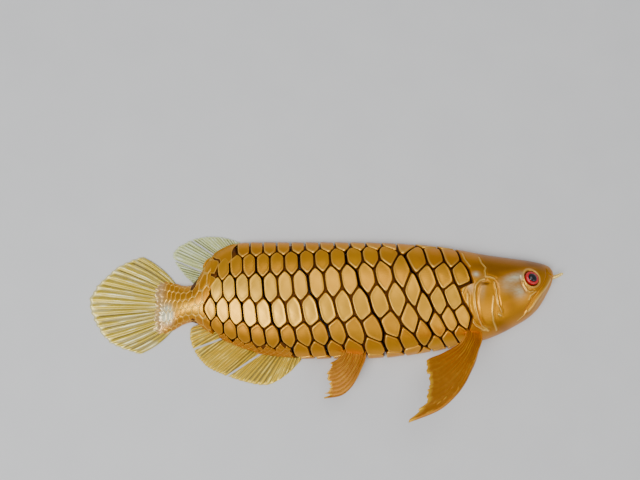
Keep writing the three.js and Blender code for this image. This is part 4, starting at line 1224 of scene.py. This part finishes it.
def raised_fin(lead, inner, bulge):
    """Middle surface of a fin that stands off the flank: across from the leading edge to the inner edge."""
    lead_at, inner_at = smooth_path(lead), smooth_path(inner)

    def middle(a, b):
        ahead = lead_at(b + 0.01) - lead_at(b - 0.01)
        inner_way = inner_at(b + 0.01) - inner_at(b - 0.01)
        ahead /= np.linalg.norm(ahead, axis=-1, keepdims=True)
        inner_way /= np.linalg.norm(inner_way, axis=-1, keepdims=True)
        way = ahead + (inner_way - ahead) * a[..., None]
        way /= np.linalg.norm(way, axis=-1, keepdims=True)
        point = lead_at(b) + (inner_at(b) - lead_at(b)) * a[..., None]
        bow = 4 * a * (1 - a) if bulge > 0 else smooth_step(a, 0.03, 0.22) * (1 - smooth_step(a, 0.45, 1.0))
        return point + way * (bulge * bow * b * b)[..., None]
    return middle


def fin_sheet(middle, rays, web, ridge_height, tooth, seed, rows=90, columns=300, beads=0.0):
    """Closed ribbed sheet about a middle surface; its outer edge is toothed and its rays fade outwards."""
    b = np.linspace(0, 1, rows)[:, None]
    a = np.linspace(0, 1, columns)[None, :] + 0 * b
    b = b + 0 * a
    ridge, pale, line = ray_pattern(a, b, rays, seed)
    teeth = value_noise(a * 13.0, 0 * a, seed + 1) + 0.6 * value_noise(a * 34.0, 0 * a, seed + 3)
    reach = b - tooth * teeth * smooth_step(b, 0.8, 1.0) * smooth_step(a, 0.03, 0.1)
    centre = middle(a, np.clip(reach, 0, 1))
    da = np.gradient(centre, axis=1)
    db = np.gradient(centre, axis=0)
    normal = np.cross(da, db)
    normal /= np.maximum(np.linalg.norm(normal, axis=-1, keepdims=True), 1e-9)
    fading = 1 - 0.75 * smooth_step(b, 0.2, 0.7)
    lumps = beads * smooth_step(value_noise(a * 26.0, b * 30.0, seed + 5), 0.72, 0.9)
    lumps = lumps * np.exp(-((a - 0.1) / 0.09) ** 2)
    half = (web + ridge_height * ridge * fading) / 2 * (1 - 0.35 * smooth_step(b, 0.9, 1)) + lumps
    edge = np.minimum(smooth_step(a, 0, 0.03) + 0.35, 1)
    half = half * edge + 0.25 * np.exp(-((a - 0.02) / 0.02) ** 2)
    # Painted sheen in streaks, painted highlight at the outer tips and on the beads
    tip_highlight = smooth_step(b, 0.93, 0.99) * 0.9
    light = np.clip(np.maximum(pale * fading * 0.55, tip_highlight) + 2.0 * lumps, 0, 1)
    # line: painted shade between the rays
    marks = {"ridge": np.tile(light.ravel(), 2), "line": np.tile((line * fading * 0.7).ravel(), 2)}
    return closed_sheet(centre + normal * half[..., None], centre - normal * half[..., None]), marks


class FISH_OT_raised_fins(bpy.types.Operator):
    """Makes the two fins that stand off the flank"""
    bl_idname = "fish.raised_fins"
    bl_label = "Raised fins"

    def execute(self, context):
        rays = settings().pectoral_rays
        shell, marks = fin_sheet(raised_fin(PECTORAL_LEAD, PECTORAL_INNER, PECTORAL_BULGE), rays,
                                 0.95, 0.6, 0.05, 21.0, beads=0.35)
        make_piece("side_fin_rays", shell, "front", material_of("amber"),
                   replaces=("pectoral_fin",), marks=marks)
        shell, marks = fin_sheet(raised_fin(PELVIC_LEAD, PELVIC_INNER, PELVIC_BULGE), PELVIC_RAYS,
                                 0.8, 0.6, 0.12, 33.0)
        make_piece("belly_fin_rays", shell, "link_4", material_of("amber"),
                   replaces=("pelvic_fin",), marks=marks)
        return {"FINISHED"}


# The photograph's view: place in the drawing's millimetres, pitch, roll and yaw in degrees, lens
CAMERA_MM = (-5.6, 5.1, 236.4)
CAMERA_TURN = (7.38, 1.13, 0.05)
CAMERA_LENS = 27.17
CAMERA_SENSOR = 36.0
# Floor: half its side and its height in metres
FLOOR_REACH = 2.0
FLOOR_Z = -0.0001
# Soft lights: name, place in metres, size, share of the power, colour
LIGHTS = (
    ("window", (-0.40, -0.28, 0.78), 0.5, 0.6, (0.97, 0.98, 1.0)),
    ("lamp", (0.09, 0.40, 0.82), 0.5, 0.2, (1.0, 0.98, 0.95)),
    ("fill", (0.6, -0.4, 0.7), 0.6, 0.2, (1.0, 0.97, 0.93)),
)
WORLD_COLOUR = (0.9, 0.93, 1.0, 1)
WORLD_STRENGTH = 0.42


class FISH_OT_stage(bpy.types.Operator):
    """Makes the pale floor, the soft lights and the camera"""
    bl_idname = "fish.stage"
    bl_label = "Stage"

    def execute(self, context):
        mesh = bpy.data.meshes.new("floor")
        signs = ((-1, -1), (1, -1), (1, 1), (-1, 1))
        corners = [(x * FLOOR_REACH, y * FLOOR_REACH, FLOOR_Z) for x, y in signs]
        mesh.from_pydata(corners, [], [(0, 1, 2, 3)])
        floor = bpy.data.objects.new("floor", mesh)
        bpy.context.scene.collection.objects.link(floor)
        material, tree, place, _ = new_material("pale_floor")
        grain = noise(tree, place, 40.0)
        base = mix(tree, grain, (0.62, 0.62, 0.62, 1), (0.68, 0.68, 0.67, 1))
        finish(tree, base, grain * 0.1 + 0.6, grain, 0.00002, metallic=0.0, coat=0.0)
        mesh.materials.append(material)
        for name, place, size, share, tone in LIGHTS:
            light = bpy.data.lights.new(name, "AREA")
            light.size = size
            light.energy = settings().key_power * share
            light.color = tone
            lamp = bpy.data.objects.new(name, light)
            aim = -np.array(place) / np.linalg.norm(place)
            lamp.matrix_world = Matrix.Translation(place) @ direction_matrix(aim)
            bpy.context.scene.collection.objects.link(lamp)
        world = bpy.data.worlds.new("studio")
        world.use_nodes = True
        world.node_tree.nodes["Background"].inputs["Color"].default_value = WORLD_COLOUR
        world.node_tree.nodes["Background"].inputs["Strength"].default_value = WORLD_STRENGTH
        bpy.context.scene.world = world
        pitch, roll, yaw = np.radians(CAMERA_TURN)
        data = bpy.data.cameras.new("photo_view")
        data.lens = CAMERA_LENS
        data.sensor_width = CAMERA_SENSOR
        data.clip_start = 0.001
        camera = bpy.data.objects.new("photo_view", data)
        spot = (np.array(CAMERA_MM) - ORIGIN) * MM
        turn = Matrix.Rotation(yaw, 4, "Z") @ Matrix.Rotation(pitch, 4, "X") @ Matrix.Rotation(-roll, 4, "Y")
        camera.matrix_world = Matrix.Translation(spot) @ turn
        bpy.context.scene.collection.objects.link(camera)
        bpy.context.scene.camera = camera
        return {"FINISHED"}


def direction_matrix(aim):
    """Turn that points an object's -Z along aim."""
    back = -np.array(aim, float)
    side = np.cross((0, 1.0, 0.01), back)
    side /= np.linalg.norm(side)
    up = np.cross(back, side)
    return Matrix([[side[k], up[k], back[k], 0] for k in range(3)] + [[0, 0, 0, 1]])


class FISH_PT_panel(bpy.types.Panel):
    """Lists the pieces of the fish half"""
    bl_idname = "FISH_PT_panel"
    bl_label = "Fish half"
    bl_space_type = "VIEW_3D"
    bl_region_type = "UI"
    bl_category = "Fish"

    def draw(self, context):
        for operator in OPERATORS:
            self.layout.operator(operator.bl_idname)


OPERATORS = (FISH_OT_stage, FISH_OT_scales, FISH_OT_root_pads, FISH_OT_tail, FISH_OT_head, FISH_OT_eye,
             FISH_OT_barbel, FISH_OT_flat_fins, FISH_OT_raised_fins)
CLASSES = (FishHalfSettings, *OPERATORS, FISH_PT_panel)


def register():
    for cls in CLASSES:
        bpy.utils.register_class(cls)
    bpy.types.Scene.fish_half = PointerProperty(type=FishHalfSettings)


def unregister():
    del bpy.types.Scene.fish_half
    for cls in reversed(CLASSES):
        bpy.utils.unregister_class(cls)


def main():
    register()
    bpy.ops.fish.stage()
    bpy.ops.fish.scales()
    bpy.ops.fish.root_pads()
    bpy.ops.fish.tail()
    bpy.ops.fish.head()
    bpy.ops.fish.eye()
    bpy.ops.fish.barbel()
    bpy.ops.fish.flat_fins()
    bpy.ops.fish.raised_fins()


if __name__ == "__main__":
    main()
